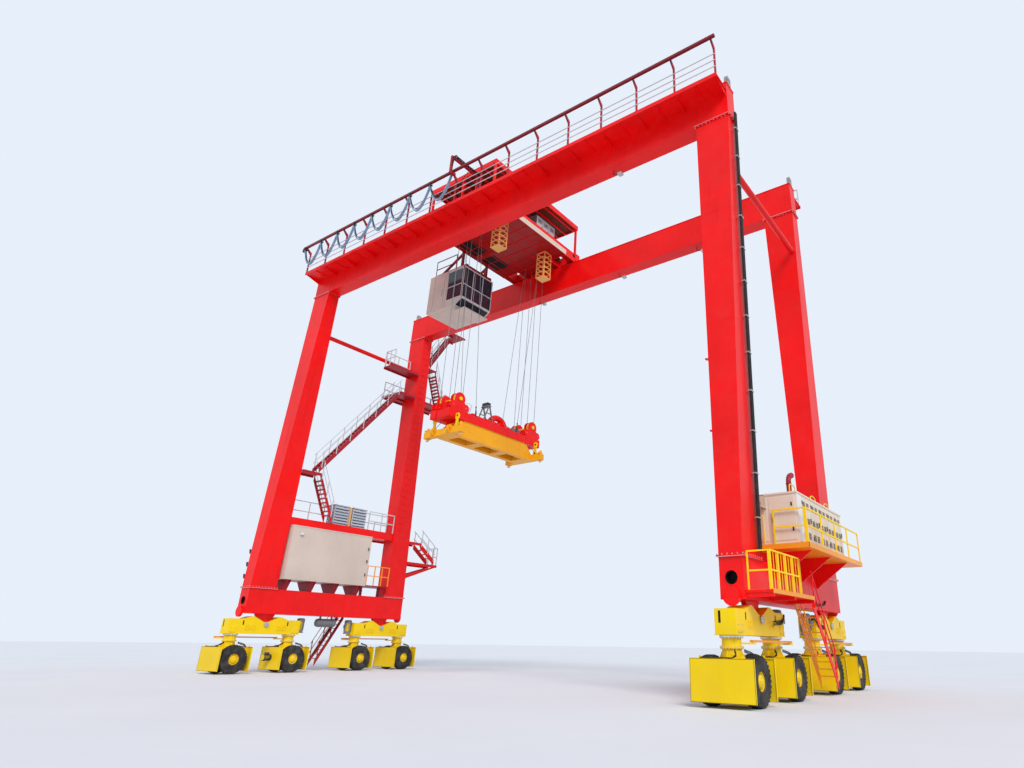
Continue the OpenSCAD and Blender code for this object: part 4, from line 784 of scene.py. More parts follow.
for name, (sx, sy) in corners.items():
    y = -sy * MOTOR_Y
    motor = [fins((0, y, 0), "z", 0.165, 0.192, 2.02, 2.46, 32),
             lathe([(0.20, 1.885), (0.20, 1.93), (0.175, 1.95), (0.175, 2.02), (0.168, 2.02)], (0, y, 0), "z", 32),
             lathe([(0.196, 2.46), (0.196, 2.56), (0.17, 2.60), (0.10, 2.615)], (0, y, 0), "z", 32),
             box((sx * 0.15, sx * 0.27), about(y, 0.09), (2.18, 2.36))]
    hoses = [tube([(sx * 0.24, y + 0.05 * (k - 1), 2.36), (sx * (0.27 + 0.02 * k), y + 0.04 * k * sy, 2.45),
                   (sx * 0.345, y + sy * (0.16 + 0.03 * k), 2.38 - 0.03 * k),
                   (sx * 0.34, y + sy * 0.46, 2.26 - 0.035 * k),
                   (sx * 0.335, y + sy * 1.05, 2.22 - 0.035 * k), (sx * 0.32, y + sy * 1.22, 2.10 - 0.02 * k)],
                  30, 0.014, 7) for k in range(4)]
    put = partial(piece, f"{name}_bogie", at=(sx * SPAN_X, sy * PIN_Y, 0))
    # The slots piece is near black painted shade for the openings.
    put(f"{name}_slots", slots, shade_and_joint_black)
    put(f"{name}_pads", pads, yellow, soften=0.004)
    put(f"{name}_pad_bolts", pad_bolts, bolt_steel)
    put(f"{name}_step_irons", irons, yellow)
    put(f"{name}_steering_motor", motor, grey)
    put(f"{name}_motor_hoses", hoses, black_cable, sharp=60)

# %% [markdown]
# ## Legs and sill beams
# Legs are bolted to the sills and girders through wide flanges, with a bright gasket
# line between them. Bolts round a rectangle are only a list of places: the perimeter is
# walked at an even step. The round holes in the sill ends get a raised rim, and a near
# black wall and bottom inside, which are painted shade for the hole's depth.

# %% Flanges, bolts and rims
on_portal = partial(piece, "portal")
INNER_WEB, OUTER_WEB, SILL_END = 3.405, 4.105, 4.79
LEG_FOOT, LEG_HEAD, HOLE_Z, BUFFER_Z, PIN_Z = 3.95, 21.24, 3.35, 2.83, 2.24


def round_rectangle(x0, x1, y0, y1, step):
    """Places along the four sides of a rectangle, evenly spaced on each side."""
    nx, ny = max(2, round((x1 - x0) / step)), max(2, round((y1 - y0) / step))
    xs, ys = np.linspace(x0, x1, nx + 1), np.linspace(y0, y1, ny + 1)
    return np.array([(x, y) for x in xs for y in (y0, y1)] + [(x, y) for y in ys[1:-1] for x in (x0, x1)])


def leg_half(z):
    """Half the leg's breadth along the span, which grows evenly from foot to head."""
    return 0.38 + 0.34 * (z - LEG_FOOT) / (LEG_HEAD - LEG_FOOT)


def leg_outer(z):
    """The leg's outer face along the travel, which leans in evenly from foot to head."""
    return SILL_END + (OUTER_WEB - SILL_END) * (z - LEG_FOOT) / (LEG_HEAD - LEG_FOOT)


flange_bolts, gaskets, rims, holes, seams, fittings, pin_bolts, pin_caps = ([] for _ in range(8))
for sx, sy in corners.values():
    cx, y, end = sx * SPAN_X, sy * PIN_Y, sy * SILL_END
    for z, half, outer, top in ((4.0, 0.38, SILL_END, 1), (21.19, 0.72, OUTER_WEB, -1)):
        places = round_rectangle(*about(cx, half + 0.032), INNER_WEB - 0.032, outer + 0.032, 0.17)
        places = rows(places[:, 0], sy * places[:, 1], z)
        flange_bolts += [bolts(places, "z", 0.02, top * 0.022),
                         bars(places + (0, 0, top * 0.01), places + (0, 0, top * 0.045), 0.010, 6)]
        gaskets.append(box(about(cx, half + 0.066), (sy * (INNER_WEB - 0.066), sy * (outer + 0.066)),
                           about(z - top * 0.05, 0.006)))
    rims += [turned([(0.198, SILL_END - 0.01), (0.232, SILL_END - 0.01), (0.232, SILL_END + 0.014),
                     (0.20, SILL_END + 0.018), (0.198, SILL_END - 0.01)], (cx, 0, HOLE_Z), "y", 48, sy),
             turned([(0.20, SILL_END + 0.12), (0.235, SILL_END + 0.118), (0.235, SILL_END + 0.128),
                     (0.20, SILL_END + 0.128), (0.20, SILL_END + 0.12)], (cx, 0, BUFFER_Z), "y", 40, sy)]
    # Near black wall and bottom in each hole: painted shade for its depth.
    holes += [hoop(0.188, 0.197, end - sy * 0.29, end - sy * 0.004, (cx, 0, HOLE_Z), "y", 40),
              hoop(0, 0.196, *about(end - sy * 0.291, -0.006), (cx, 0, HOLE_Z), "y", 40)]
    for z in (7.1, 11.9, 16.6):
        seams.append(box(about(cx, leg_half(z) + 0.003), (sy * (INNER_WEB - 0.003), sy * (leg_outer(z) + 0.003)),
                         (z, z + 0.02)))
    for face in (-1, 1):
        wall = cx + face * 0.35
        pin_caps.append(lathe([(0.125, -0.01), (0.125, 0.02), (0.10, 0.03)], (wall, y, PIN_Z), "x", 32, face))
        pin_bolts.append(bolts(ring_of(6, 0.095, (wall + face * 0.03, y, PIN_Z)), "x", 0.012, face * 0.012))
hooks = []
for z in (5.05, 4.45, 5.7):
    x, y = -SPAN_X - leg_half(z), 0.12 - leg_outer(z)
    hooks.append(beams([(x, y, z), (x - 0.26, y, z)], [(x - 0.28, y, z), (x - 0.33, y, z + 0.20)], 0.05, 0.09,
                       (0, 1, 0)))
for z in (8.0, 10.6):
    x = SPAN_X - leg_half(z)
    fittings.append(beams((x + 0.02, -4.3, z), (x - 0.20, -4.3, z + 0.05), 0.05, 0.11, (0, 1, 0)))
rung_z = np.arange(7.95, 21.0, 0.42)
rung_ends = [rows(0.064 - SPAN_X + leg_half(rung_z), y, rung_z) for y in (3.62, 4.0)]
fittings += [bars(*rung_ends, 0.011, 6)] + [bars(ends - (0.08, 0, 0), ends, 0.011, 6) for ends in rung_ends]
on_portal("flange_bolts", flange_bolts, bolt_steel)
on_portal("flange_gaskets", gaskets, bright_steel)
on_portal("sill_rims", rims, red)
on_portal("sill_hole_linings", holes, shade_and_joint_black)
on_portal("leg_weld_seams", seams, red)
on_portal("leg_lugs_and_rungs", fittings, red)
on_portal("leg_hooks", hooks, dark_grey, soften=0.006)
on_portal("rocking_pin_caps", pin_caps, zinc, "rail_steel")
on_portal("rocking_pin_bolts", pin_bolts, bolt_steel)

# %% [markdown]
# ## Girders and walkways
# A box girder is welded from plates, so thin beads cross its webs. The walkways carry
# folded edges and cross ribs below, and clips hold the rails. Everything repeats along
# the girder, so the places are one array. Four lamps hang below.

# %% Girders and walkways
GIRDER_Y, GIRDER_LOW, GIRDER_TOP, GIRDER_END = 3.755, 21.24, 22.92, 13.97
post_x = -GIRDER_END + 0.06 + np.arange(16) * (2 * GIRDER_END - 0.12) / 15
rail_x = np.arange(-13.6, 13.61, 0.68)
beads, clips, clip_bolts, ribs, kerbs, lamp_arms, lamp_heads = ([] for _ in range(7))
for sy in (-1, 1):
    middle, edge = sy * GIRDER_Y, sy * (OUTER_WEB + 0.94)
    for x in (-11.1, -6.4, -1.6, 3.3, 8.0, 12.35):
        beads += [box(about(x, 0.008), about(middle, 0.353), (GIRDER_LOW + 0.031, GIRDER_TOP - 0.031)),
                  box(about(x, 0.008), about(middle, 0.374), (GIRDER_LOW - 0.003, GIRDER_LOW + 0.004))]
    for t in (-1, 1):
        y = middle + t * 0.075
        clips.append(box(about(rail_x, 0.045), about(y, 0.035), (GIRDER_TOP, GIRDER_TOP + 0.03)))
        clip_bolts.append(bolts(rows(rail_x, y + t * 0.01, GIRDER_TOP + 0.03), "z", 0.014, 0.02))
    ribs.append(box(about((post_x[:-1] + post_x[1:]) / 2, 0.025), (sy * OUTER_WEB, edge), (22.41, 22.45)))
    kerbs.append(box((-GIRDER_END, GIRDER_END), about(edge, [0.008, 0.004]), ([22.40, 22.50], [22.502, 22.60])))
for x, sy in ((3.6, 1), (-2.3, 1), (8.6, 1), (8.2, -1)):
    bend = np.array([x, sy * (GIRDER_Y - 0.02), GIRDER_LOW - 0.22])
    lamp_arms.append(bars([bend + (0, 0, 0.22), bend], [bend, bend + (0.30, 0, -0.08)], 0.018))
    lamp_heads.append(box((x + 0.26, x + 0.46), about(bend[1], 0.11), (GIRDER_LOW - 0.40, GIRDER_LOW - 0.29)))
on_portal("girder_beads", beads, red)
on_portal("rail_clips", clips, grey)
on_portal("rail_clip_bolts", clip_bolts, bolt_steel)
on_portal("walkway_ribs", ribs, red)
on_portal("walkway_kerbs", kerbs, red)
on_portal("lamp_arms", lamp_arms, dark_grey)
on_portal("lamp_heads", lamp_heads, zinc, soften=0.01)

# %% [markdown]
# ## Festoon
# A flat cable feeds the trolley. It hangs in loops from small carriers that run under
# the track. Each loop is a parabola: the drop grows with the distance from its middle.
# The cable is a stack of thin round leads side by side, so it is drawn as several
# tubes on parallel curves. It stretches as the trolley moves, from its fixed end on the
# portal; here it is baked in place and rides on no body.

# %% Festoon cable
TRACK_Y, CABLE_Z, LOOPS, DROP = -5.375, 24.01, 8, 1.3
first_x, last_x = -13.91, -0.91
pitch_x = (last_x - first_x) / LOOPS


def loop_path(y, drop, lift, per_loop=14):
    """A row of hanging loops: height is the top less 4·drop·t·(1 − t) along each loop."""
    t, top = np.linspace(0, 1, per_loop + 1)[:-1], CABLE_Z - lift
    x = first_x + pitch_x * (np.arange(LOOPS)[:, None] + t).ravel()
    z = np.tile(top - drop * 4 * t * (1 - t), LOOPS)
    return rows([first_x - 0.09, *x, last_x, last_x + 0.10], y, [top, *z, top, top])


blue_leads = [pipe(loop_path(TRACK_Y + dy, DROP - 0.02, 0.0), 0.017, 6) for dy in np.linspace(-0.057, 0.057, 4)]
black_leads = [pipe(loop_path(TRACK_Y + dy, DROP - 0.16, -0.012), 0.010, 6) for dy in (-0.038, 0.0, 0.038)]
carriers, saddles = [], []
t = np.linspace(0, np.pi, 9)
for k in range(LOOPS + 1):
    x = first_x + k * pitch_x
    carriers += [box(about(x, 0.045), about(TRACK_Y, 0.010), (CABLE_Z + 0.03, 24.125)),
                 box(about(x, 0.05), (TRACK_Y - 0.095, TRACK_Y - 0.083), (24.05, 24.20)),
                 box(about(x, 0.05), (TRACK_Y + 0.083, TRACK_Y + 0.095), (24.05, 24.14)),
                 box(about(x, 0.05), about(TRACK_Y, 0.095), (24.045, 24.06))]
    saddles += [pipe(rows(x + 0.075 * np.cos(t), TRACK_Y + dy, CABLE_Z - 0.028 + 0.05 * np.sin(t)), 0.021, 6)
                for dy in (-0.06, -0.02, 0.02, 0.06)]
festoon = partial(on_portal, blend=("portal", "trolley", (first_x - 0.05, TRACK_Y, CABLE_Z),
                                    (last_x + 0.10, TRACK_Y, CABLE_Z)))
festoon("festoon_blue_leads", blue_leads, blue_cable, replaces=["festoon_cable"], sharp=60)
festoon("festoon_black_leads", black_leads, black_cable, sharp=60)
festoon("festoon_carriers", carriers + saddles, dark_grey)

# %% [markdown]
# ## Roof and deck of the trolley
# The roof is lined below with boards, and the gaps between them read as thin dark
# lines. The deck's underside is stiffened with flats; between them two near black
# sheets are painted shade for recesses, and the frame's red below the deck is
# darkened as painted shade.
# The deck's outer edge on the right is a cream coloured beam with a small kick plate.

# %% Roof and deck
on_trolley = partial(piece, "trolley")
ROOF_Z, DECK_TOP, DECK_LOW, DECK_X0, DECK_X1 = 25.5, 23.25, 23.0, -4.5, 0.5
GUTTER = (25.655, 25.675)
board_y, seam_x = np.arange(-3.62, 3.5, 0.245), np.arange(DECK_X0 + 0.62, DECK_X1, 0.62)
boards = box((DECK_X0 + 0.06, DECK_X1 - 0.06), (board_y, board_y + 0.222), (ROOF_Z - 0.024, ROOF_Z - 0.001))
standing = box(about(seam_x, 0.012), (-3.66, 3.66), (ROOF_Z + 0.06, ROOF_Z + 0.095))
gutter = [box((DECK_X0 - 0.004, DECK_X1 + 0.004), (-3.70, -3.66), GUTTER),
          box((DECK_X0 - 0.004, DECK_X1 + 0.004), (3.66, 3.70), GUTTER),
          box((DECK_X1 - 0.036, DECK_X1 + 0.004), (-3.70, 3.70), GUTTER)]
knees = [plate([(s * 3.60, 25.38), (s * 3.60, 25.08), (s * 3.28, 25.38)], x - 0.01, x + 0.01, "x")
         for x in (-4.4, -2.0, 0.4) for s in (-1, 1)]
flats = [box((DECK_X0 + 0.02, DECK_X1 - 0.02), about(np.arange(-3, 4) * 0.85, 0.008), (DECK_LOW - 0.035, DECK_LOW)),
         box(about([-3.9, -3.3, -2.7, -1.3, -0.4], 0.008), (-2.58, 2.58), (DECK_LOW - 0.028, DECK_LOW))]
# Near black sheets under the deck: painted shade for two recesses.
recess = box((-4.2, -3.2), ([-1.9, 0.3], [-0.2, 1.8]), (DECK_LOW - 0.006, DECK_LOW + 0.001))
edge_beam = box(([DECK_X1 - 0.02, DECK_X1 - 0.05], DECK_X1 + 0.012), (-2.62, 2.62),
                ([DECK_LOW + 0.02, DECK_TOP + 0.085], DECK_TOP + 0.10))
on_trolley("roof_boards", boards, brown)
on_trolley("roof_seams", standing, red)
on_trolley("roof_gutters", gutter, red, soften=0.004)
on_trolley("roof_knees", knees, red)
on_trolley("deck_flats", flats, red)
on_trolley("deck_recesses", recess, shade_and_joint_black)
on_trolley("deck_edge_beam", edge_beam, cream, soften=0.004)

# %% [markdown]
# ## Machinery
# The drum's grooves come from one profile that rises and falls along its length and is
# turned round the shaft, and the rope lies in them. Beside it stand two finned motors
# on feet, with round end bells and brakes, and grey cabinets with doors, handles and
# louvres. The louvres are near black strips, painted shade for the vent openings.

# %% Machinery
DRUM_X, DRUM_Z, DRUM_R, HOIST_X, HOIST_Z = -2.0, 24.20, 0.42, -3.25, 23.72
groove = DRUM_R + 0.006 + 0.010 * np.abs(np.sin(np.arange(181) * np.pi / 4))
drum = lathe([(DRUM_R + 0.05, -1.46), (DRUM_R + 0.05, -1.43), *zip(groove, np.linspace(-1.42, 1.42, 181)),
              (DRUM_R + 0.05, 1.43), (DRUM_R + 0.05, 1.46)], (DRUM_X, 0, DRUM_Z), "y", 48)
on_trolley("hoist_drum", drum, rope_steel, sharp=50)
motors, feet, couplings = [], [], []
shaft = (HOIST_X, 0, HOIST_Z)
for s in (-1, 1):
    low, high = sorted((s * 0.55, s * 1.65))
    brake = high + 0.14 if s > 0 else low - 0.14
    motors += [fins(shaft, "y", 0.225, 0.275, low, high, 36),
               lathe([(0.27, low - 0.02), (0.285, low + 0.01), (0.285, low + 0.06), (0.23, low + 0.07),
                      (0.23, high - 0.07), (0.285, high - 0.06), (0.285, high + 0.02), (0.25, high + 0.06),
                      (0.12, high + 0.08)], shaft, "y", 36),
               box((HOIST_X - 0.45, HOIST_X - 0.24), about((low + high) / 2, 0.18),
                   (HOIST_Z - 0.06, HOIST_Z + 0.20)),
               box((HOIST_X - 0.26, HOIST_X - 0.16), about(brake, 0.075), (DECK_TOP - 0.002, HOIST_Z + 0.34)),
               box((HOIST_X + 0.16, HOIST_X + 0.26), about(brake, 0.075), (DECK_TOP - 0.002, HOIST_Z + 0.34)),
               box(about(HOIST_X, 0.26), about(brake, 0.075), (HOIST_Z + 0.25, HOIST_Z + 0.34))]
    feet += [box(about(HOIST_X, 0.33), (low + 0.10, high - 0.10), (DECK_TOP - 0.002, HOIST_Z - 0.20)),
             box(about(HOIST_X, 0.33), (low + 0.06, high - 0.06), (DECK_TOP - 0.002, DECK_TOP + 0.05))]
    couplings += [hoop(0, 0.21, brake - 0.05, brake + 0.05, shaft, "y", 36),
                  hoop(0, 0.06, low - 0.3, high + 0.3, shaft, "y", 20)]
on_trolley("hoist_motors", motors, grey, soften=0.006)
on_trolley("motor_feet", feet, red)
on_trolley("couplings", couplings, bright_steel)
doors, handles, vents = [], [], []
vent_z = 24.62 + 0.045 * np.arange(6)
for (y0, y1), (face, out) in product(((-2.6, -0.9), (0.7, 2.4)), ((-0.3, 1), (-1.4, -1))):
    width = (y1 - y0) / 3
    for k in range(3):
        a, b = y0 + k * width + 0.02, y0 + (k + 1) * width - 0.02
        doors.append(box((face - 0.001 * out, face + out * 0.018), (a, b), (23.66, 25.0)))
        handles.append(box((face + out * 0.018, face + out * 0.04), (b - 0.09, b - 0.06), (24.25, 24.42)))
        # Near black strips for the louvres: painted shade for the vent openings.
        vents.append(box((face + out * 0.017, face + out * 0.024), (a + 0.10, b - 0.10), (vent_z, vent_z + 0.018)))
doors += [box((-2.37, -1.63), about([1.78, 2.05, 2.32], 0.012), (23.30, 24.50)),
          box((-2.40, -1.60), (1.66, 2.44), (23.86, 23.90))]
on_trolley("cabinet_doors", doors, pale_grey, soften=0.004)
on_trolley("cabinet_handles", handles, black_cable)
on_trolley("cabinet_vents", vents, shade_and_joint_black)

# %% [markdown]
# ## Travel motor, buffers and the cable arm
# Round brown motors drive the trolley's wheels from beside the end trucks. An orange
# buffer with a rubber face stands at each corner. Black cables gather at the towing arm,
# fall to the last carrier, and run back along the arm to the roof.

# %% Travel motors, buffers, arm cables
TRAVEL_Z, BUFFER_Y = 23.42, 3.42
travel, buffers, rubbers = [], [], []
for x, s in product((-3.4, -0.62), (-1, 1)):
    y = s * 3.05
    barrel = [(0.125, y - 0.19), (0.125, y + 0.2), (0.15, y + 0.21)]
    barrel = ([(0.15, y - 0.25), (0.15, y - 0.2), *barrel, (0.15, y + 0.24), (0.07, y + 0.25),
               (0.07, 3.56)] if s > 0
              else [(0.07, -3.56), (0.07, y - 0.25), (0.15, y - 0.24), (0.15, y - 0.2), *barrel, (0.15, y + 0.25)])
    travel += [fins((x, 0, TRAVEL_Z), "y", 0.12, 0.15, y - 0.22, y + 0.22, 24),
               lathe(barrel, (x, 0, TRAVEL_Z), "y", 28)]
for s, (x, out) in product((-1, 1), ((DECK_X1, 1), (DECK_X0, -1))):
    at = (x, s * BUFFER_Y, 23.40)
    buffers += [lathe([(0.10, -0.30), (0.10, -0.09), (0.125, -0.08), (0.125, -0.05)], at, "x", 28, out),
                box((x - out * 0.30, x - out * 0.08), about(s * BUFFER_Y, 0.12), (23.27, 23.32))]
    rubbers += [turned([(0, -0.05), (0.105, -0.05), (0.11, -0.03), (0.10, -0.004), (0, 0)], at, "x", 28, out),
                box((x - out * 0.32, x - out * 0.06), about(s * 3.10, 0.12), (23.25, 23.52))]
on_trolley("travel_motors", travel, brown, "grey_paint")
on_trolley("buffers", buffers, orange, "yellow_paint")
on_trolley("buffer_rubbers", rubbers, black_cable, soften=0.006)
ARM_X, ARM_TOP = -0.75, 25.0
arm_cables = []
for k in range(6):
    x, row = ARM_X + 0.055 * (k - 2.5), k % 3
    dx = x - ARM_X
    arm_cables.append(tube([
        (ARM_X - 0.16 + dx * 0.3, TRACK_Y + 0.02 * (row - 1), CABLE_Z),
        (ARM_X - 0.12 + dx * 0.6, TRACK_Y - 0.13 - 0.02 * row, CABLE_Z + 0.12),
        (ARM_X + dx * 0.8, TRACK_Y - 0.22, CABLE_Z + 0.50), (x, TRACK_Y - 0.16, ARM_TOP + 0.02),
        (x, TRACK_Y + 0.10, ARM_TOP + 0.05), (x, -4.6, ARM_TOP + 0.028), (ARM_X + dx * 0.9, -3.90, ARM_TOP + 0.028),
        (x, -3.72, ARM_TOP - 0.10), (x - 0.05, -3.62, 24.2), (x - 0.12, -3.3, 23.75), (dx - 1.0, -2.66, 23.60)],
        60, 0.020, 7))
arm_cables += [tube([
    (ARM_X + 0.05 * k, -4.35 + 0.2 * k, ARM_TOP + 0.03), (-1.8, -4.1 + 0.1 * k, 24.74 + 0.06 * k),
    (-3.0, -3.85, 24.72 + 0.05 * k), (-4.1, -3.74, 25.05 + 0.03 * k), (-4.35, -3.70, 25.37)], 40, 0.016, 6)
    for k in range(3)]
clamps = box(about(ARM_X, 0.17), about([-4.9, -4.3], 0.02), (ARM_TOP - 0.002, ARM_TOP + 0.06))
on_trolley("arm_cables", arm_cables, black_cable, sharp=60)
on_trolley("arm_clamps", clamps, zinc)

# %% [markdown]
# ## Driver's cab
# The cab is glazed low so that the driver sees the load. Thin pale mullions divide the
# panes, a frame and a grille cover the sloping foot window, and the floor is planked
# below. Inside are a seat and two control stands, seen darkly through the glass.

# %% Cab
CAB_BACK, CAB_FRONT, CAB_HALF, CAB_FLOOR, CAB_TOP, HANDLE_X = -6.8, -3.95, 1.18, 19.35, 21.80, -5.58
SEAT = (-5.0, 0, 19.86)
front = CAB_FRONT + 0.004
mullions = [box((front - 0.03, front + 0.008), about([-1.14, -0.38, 0.38, 1.14], 0.018), (19.76, 21.76)),
            box((front - 0.03, front + 0.007), (-1.155, 1.155), about([19.77, 20.62, 21.745], 0.016))]
front_corners = []
for s in (-1, 1):
    wall = s * CAB_HALF
    mullions += [box(about([-5.22, -4.62, -4.0], 0.016), (wall - s * 0.03, wall + s * 0.006), (19.77, 21.67)),
                 box((-5.23, -3.99), (wall - s * 0.03, wall + s * 0.005), about([19.78, 20.62, 21.66], 0.014))]
    front_corners.append(box((CAB_FRONT - 0.06, CAB_FRONT + 0.002), (wall - s * 0.05, wall + s * 0.004),
                             (19.75, CAB_TOP - 0.02)))
foot = np.array([-4.57, 0, 19.35])
rise = np.array([-3.95, 0, 19.73]) - foot
normal = np.array([rise[2], 0, -rise[0]]) / np.linalg.norm(rise)


def on_window(t, y, lift):
    """A place on the sloping foot window: t goes up the slope, and lift out from it."""
    return foot + rise * np.reshape(t, (-1, 1)) + (0, y, 0) + normal * lift


mullions += [beams(on_window(0.06, y, 0.005), on_window(0.95, y, 0.005), 0.06, 0.03, (0, 1, 0))
             for y in (-1.10, 1.10)]
mullions += [beams(on_window(t, -1.13, 0.005), on_window(t, 1.13, 0.005), 0.05, 0.03, normal) for t in (0.06, 0.95)]
t = np.linspace(0.14, 0.88, 7)
grille = [bars(on_window(t, -1.08, 0.012), on_window(t, 1.08, 0.012), 0.007, 6)]
grille += [bars(on_window(0.08, y, 0.02), on_window(0.93, y, 0.02), 0.006, 6) for y in np.linspace(-0.9, 0.9, 10)]
plank_y = np.arange(-CAB_HALF + 0.03, CAB_HALF - 0.1, 0.193)
planks = box((CAB_BACK + 0.02, -4.60), (plank_y, plank_y + 0.172), (CAB_FLOOR - 0.018, CAB_FLOOR + 0.002))
wall_seams = box(about([-6.35, -5.75, -5.28], 0.005), about(0, CAB_HALF + 0.004),
                 (CAB_FLOOR + 0.02, CAB_TOP - 0.02))
cab_doors = [box((-6.28, -5.50), (s * (CAB_HALF - 0.002), s * (CAB_HALF + 0.02)), (19.42, 21.55)) for s in (1, -1)]
cab_handles = [bars((HANDLE_X, s * (CAB_HALF + 0.06), 20.2), (HANDLE_X, s * (CAB_HALF + 0.06), 20.6), 0.012)
               for s in (-1, 1)]
cab_handles += [bars(rows(HANDLE_X, s * CAB_HALF, [20.22, 20.58]),
                     rows(HANDLE_X, s * (CAB_HALF + 0.06), [20.22, 20.58]), 0.010) for s in (-1, 1)]
roof_unit = [box((-6.2, -5.3), (-0.45, 0.45), (CAB_TOP - 0.002, CAB_TOP + 0.30)),
             box((-6.1, -5.4), (-0.35, 0.35), (CAB_TOP + 0.30, CAB_TOP + 0.34))]
stands = [plate([(-4.62, 19.48), (-4.30, 19.62), (-4.30, 20.05), (-4.55, 20.22), (-4.78, 20.22), (-4.78, 19.48)],
                y, y + 0.22) for y in (-0.68, 0.46)]
stands.append(bars(rows(-4.66, [-0.57, 0.57], 20.22), rows(-4.63, [-0.57, 0.57], 20.40), 0.018, 8, 0.026))
seat_base = turned([(0, 19.40), (0.20, 19.40), (0.20, 19.44), (0.06, 19.47), (0.06, 19.78), (0.16, 19.80),
                    (0, 19.80)],
                   (SEAT[0], 0, 0), "z", 24)


def cushion(half, crown, tilt=0.0):
    """A crowned pad: a rounded square ring |cos|^.45, |sin|^.45 that shrinks towards both
    ends by the circle law, so that the top swells and the sides pull in. The pad is then
    tilted about the y axis by the usual cosine and sine, in degrees."""
    t = np.linspace(-1, 1, 14)[:, None]
    a = np.linspace(0, 2 * np.pi, 32, endpoint=False)
    size = (1 - np.abs(t) ** 3.2) ** (1 / 3.2) * 0.94 + 0.02
    x = half[0] * size * np.sign(np.cos(a)) * np.abs(np.cos(a)) ** 0.45
    y = half[1] * size * np.sign(np.sin(a)) * np.abs(np.sin(a)) ** 0.45
    z = half[2] * t + crown * (t > 0) * (1 - (x / half[0]) ** 2) * (1 - (y / half[1]) ** 2)
    c, s = math.cos(math.radians(tilt)), math.sin(math.radians(tilt))
    return skin(rows(z * s + x * c, y, z * c - x * s))


seat, back = cushion((0.25, 0.24, 0.065), 0.02), cushion((0.33, 0.23, 0.06), 0.015, 98)
seat_piece = on_trolley("seat_cushion", seat, black_cable, at=SEAT, sharp=60)
back_piece = on_trolley("seat_back", back, black_cable, at=np.add(SEAT, (-0.27, 0, 0.40)), sharp=60)
on_trolley("cab_mullions", mullions, white)
on_trolley("cab_front_corners", front_corners, brown, "maroon_paint")
on_trolley("foot_grille", grille, dark_grey)
on_trolley("cab_planks", planks, beige, soften=0.004)
on_trolley("cab_wall_seams", wall_seams, brown, "beige_paint")
on_trolley("cab_doors", cab_doors, beige, soften=0.006)
on_trolley("cab_handles", cab_handles, zinc)
on_trolley("cab_roof_unit", roof_unit, pale_grey, soften=0.012)
on_trolley("cab_stands", stands, dark_grey, soften=0.01)
on_trolley("seat_base", seat_base, dark_grey)

# %% [markdown]
# ## Ropes
# Eight falls of rope run from the trolley to four sheaves on the headblock, and two
# pairs of slanting ropes steady the load. Every rope is taut, so it is drawn as thin
# strands wound round a straight line: a helix is one more path. A rope grows longer as
# the load goes down; here the ropes are baked in place and ride on no body.

# %% Ropes
on_gear = partial(piece, "lifting_gear")
ROPE_X, ROPE_Y, ROPE_TOP, SHEAVE_Z, SHEAVE_R, ROPE_R = 0.48, 2.70, 23.0, 12.47, 0.26, 0.014


def wound(a, b, radius, strands=3, turns=26):
    """Strands laid round a straight line: strand k is a helix of the line's length whose
    angle grows evenly from end to end."""
    a, b = np.asarray(a, float), np.asarray(b, float)
    side, up = square_to((b - a)[None], np.array([[0.3, 1.0, 0.0]]))
    t = np.linspace(0, 1, turns * 6 + 1)[:, None]
    angles = [2 * np.pi * (turns * t + k / strands) for k in range(strands)]
    return [pipe(a + (b - a) * t + radius * (side * np.cos(angle) + up * np.sin(angle)), radius * 1.02, 5)
            for angle in angles]


falls, sockets = [], []
for sx, sy in product((-1, 1), (-1, 1)):
    for side in (-1, 1):
        x, y = DRUM_X + sx * ROPE_X, sy * ROPE_Y + side * (SHEAVE_R + ROPE_R)
        falls += wound((x, y, SHEAVE_Z), (x, y, ROPE_TOP), ROPE_R * 0.52)
    foot = np.array([DRUM_X + sx * 0.56, sy * 1.5, 11.87])
    head = np.array([DRUM_X + sx * 0.56, sy * 2.45, ROPE_TOP])
    falls += wound(foot, head, ROPE_R * 0.50)
    way = (head - foot) / np.linalg.norm(head - foot)
    sockets += [bars(foot + way * a, foot + way * b, radius, sides, end) for a, b, radius, sides, end in (
        (-0.02, 0.16, 0.030, 12, None), (0.16, 0.42, 0.045, 12, 0.022), (0.50, 0.56, 0.034, 12, None),
        (0.42, 0.52, 0.020, 10, 0.03))]
    sockets.append(box(about(foot[0], 0.03), about(foot[1], 0.10), (foot[2] - 0.01, foot[2] + 0.07)))
on_trolley("hoist_falls", falls, rope_steel, "grey_paint", replaces=["hoist_ropes"], sharp=60,
           blend=("trolley", "lifting_gear", (DRUM_X, 0, ROPE_TOP), (DRUM_X, 0, 12.60)))
on_gear("rope_sockets", sockets, dark_grey)

# %% [markdown]
# ## Sheaves
# A sheave is a turned wheel with a rope groove and a hub. Holes in a turned web would
# need cutting, so the web is built from spokes: flat wedges between the hub and the
# rim, which leave openings between them.

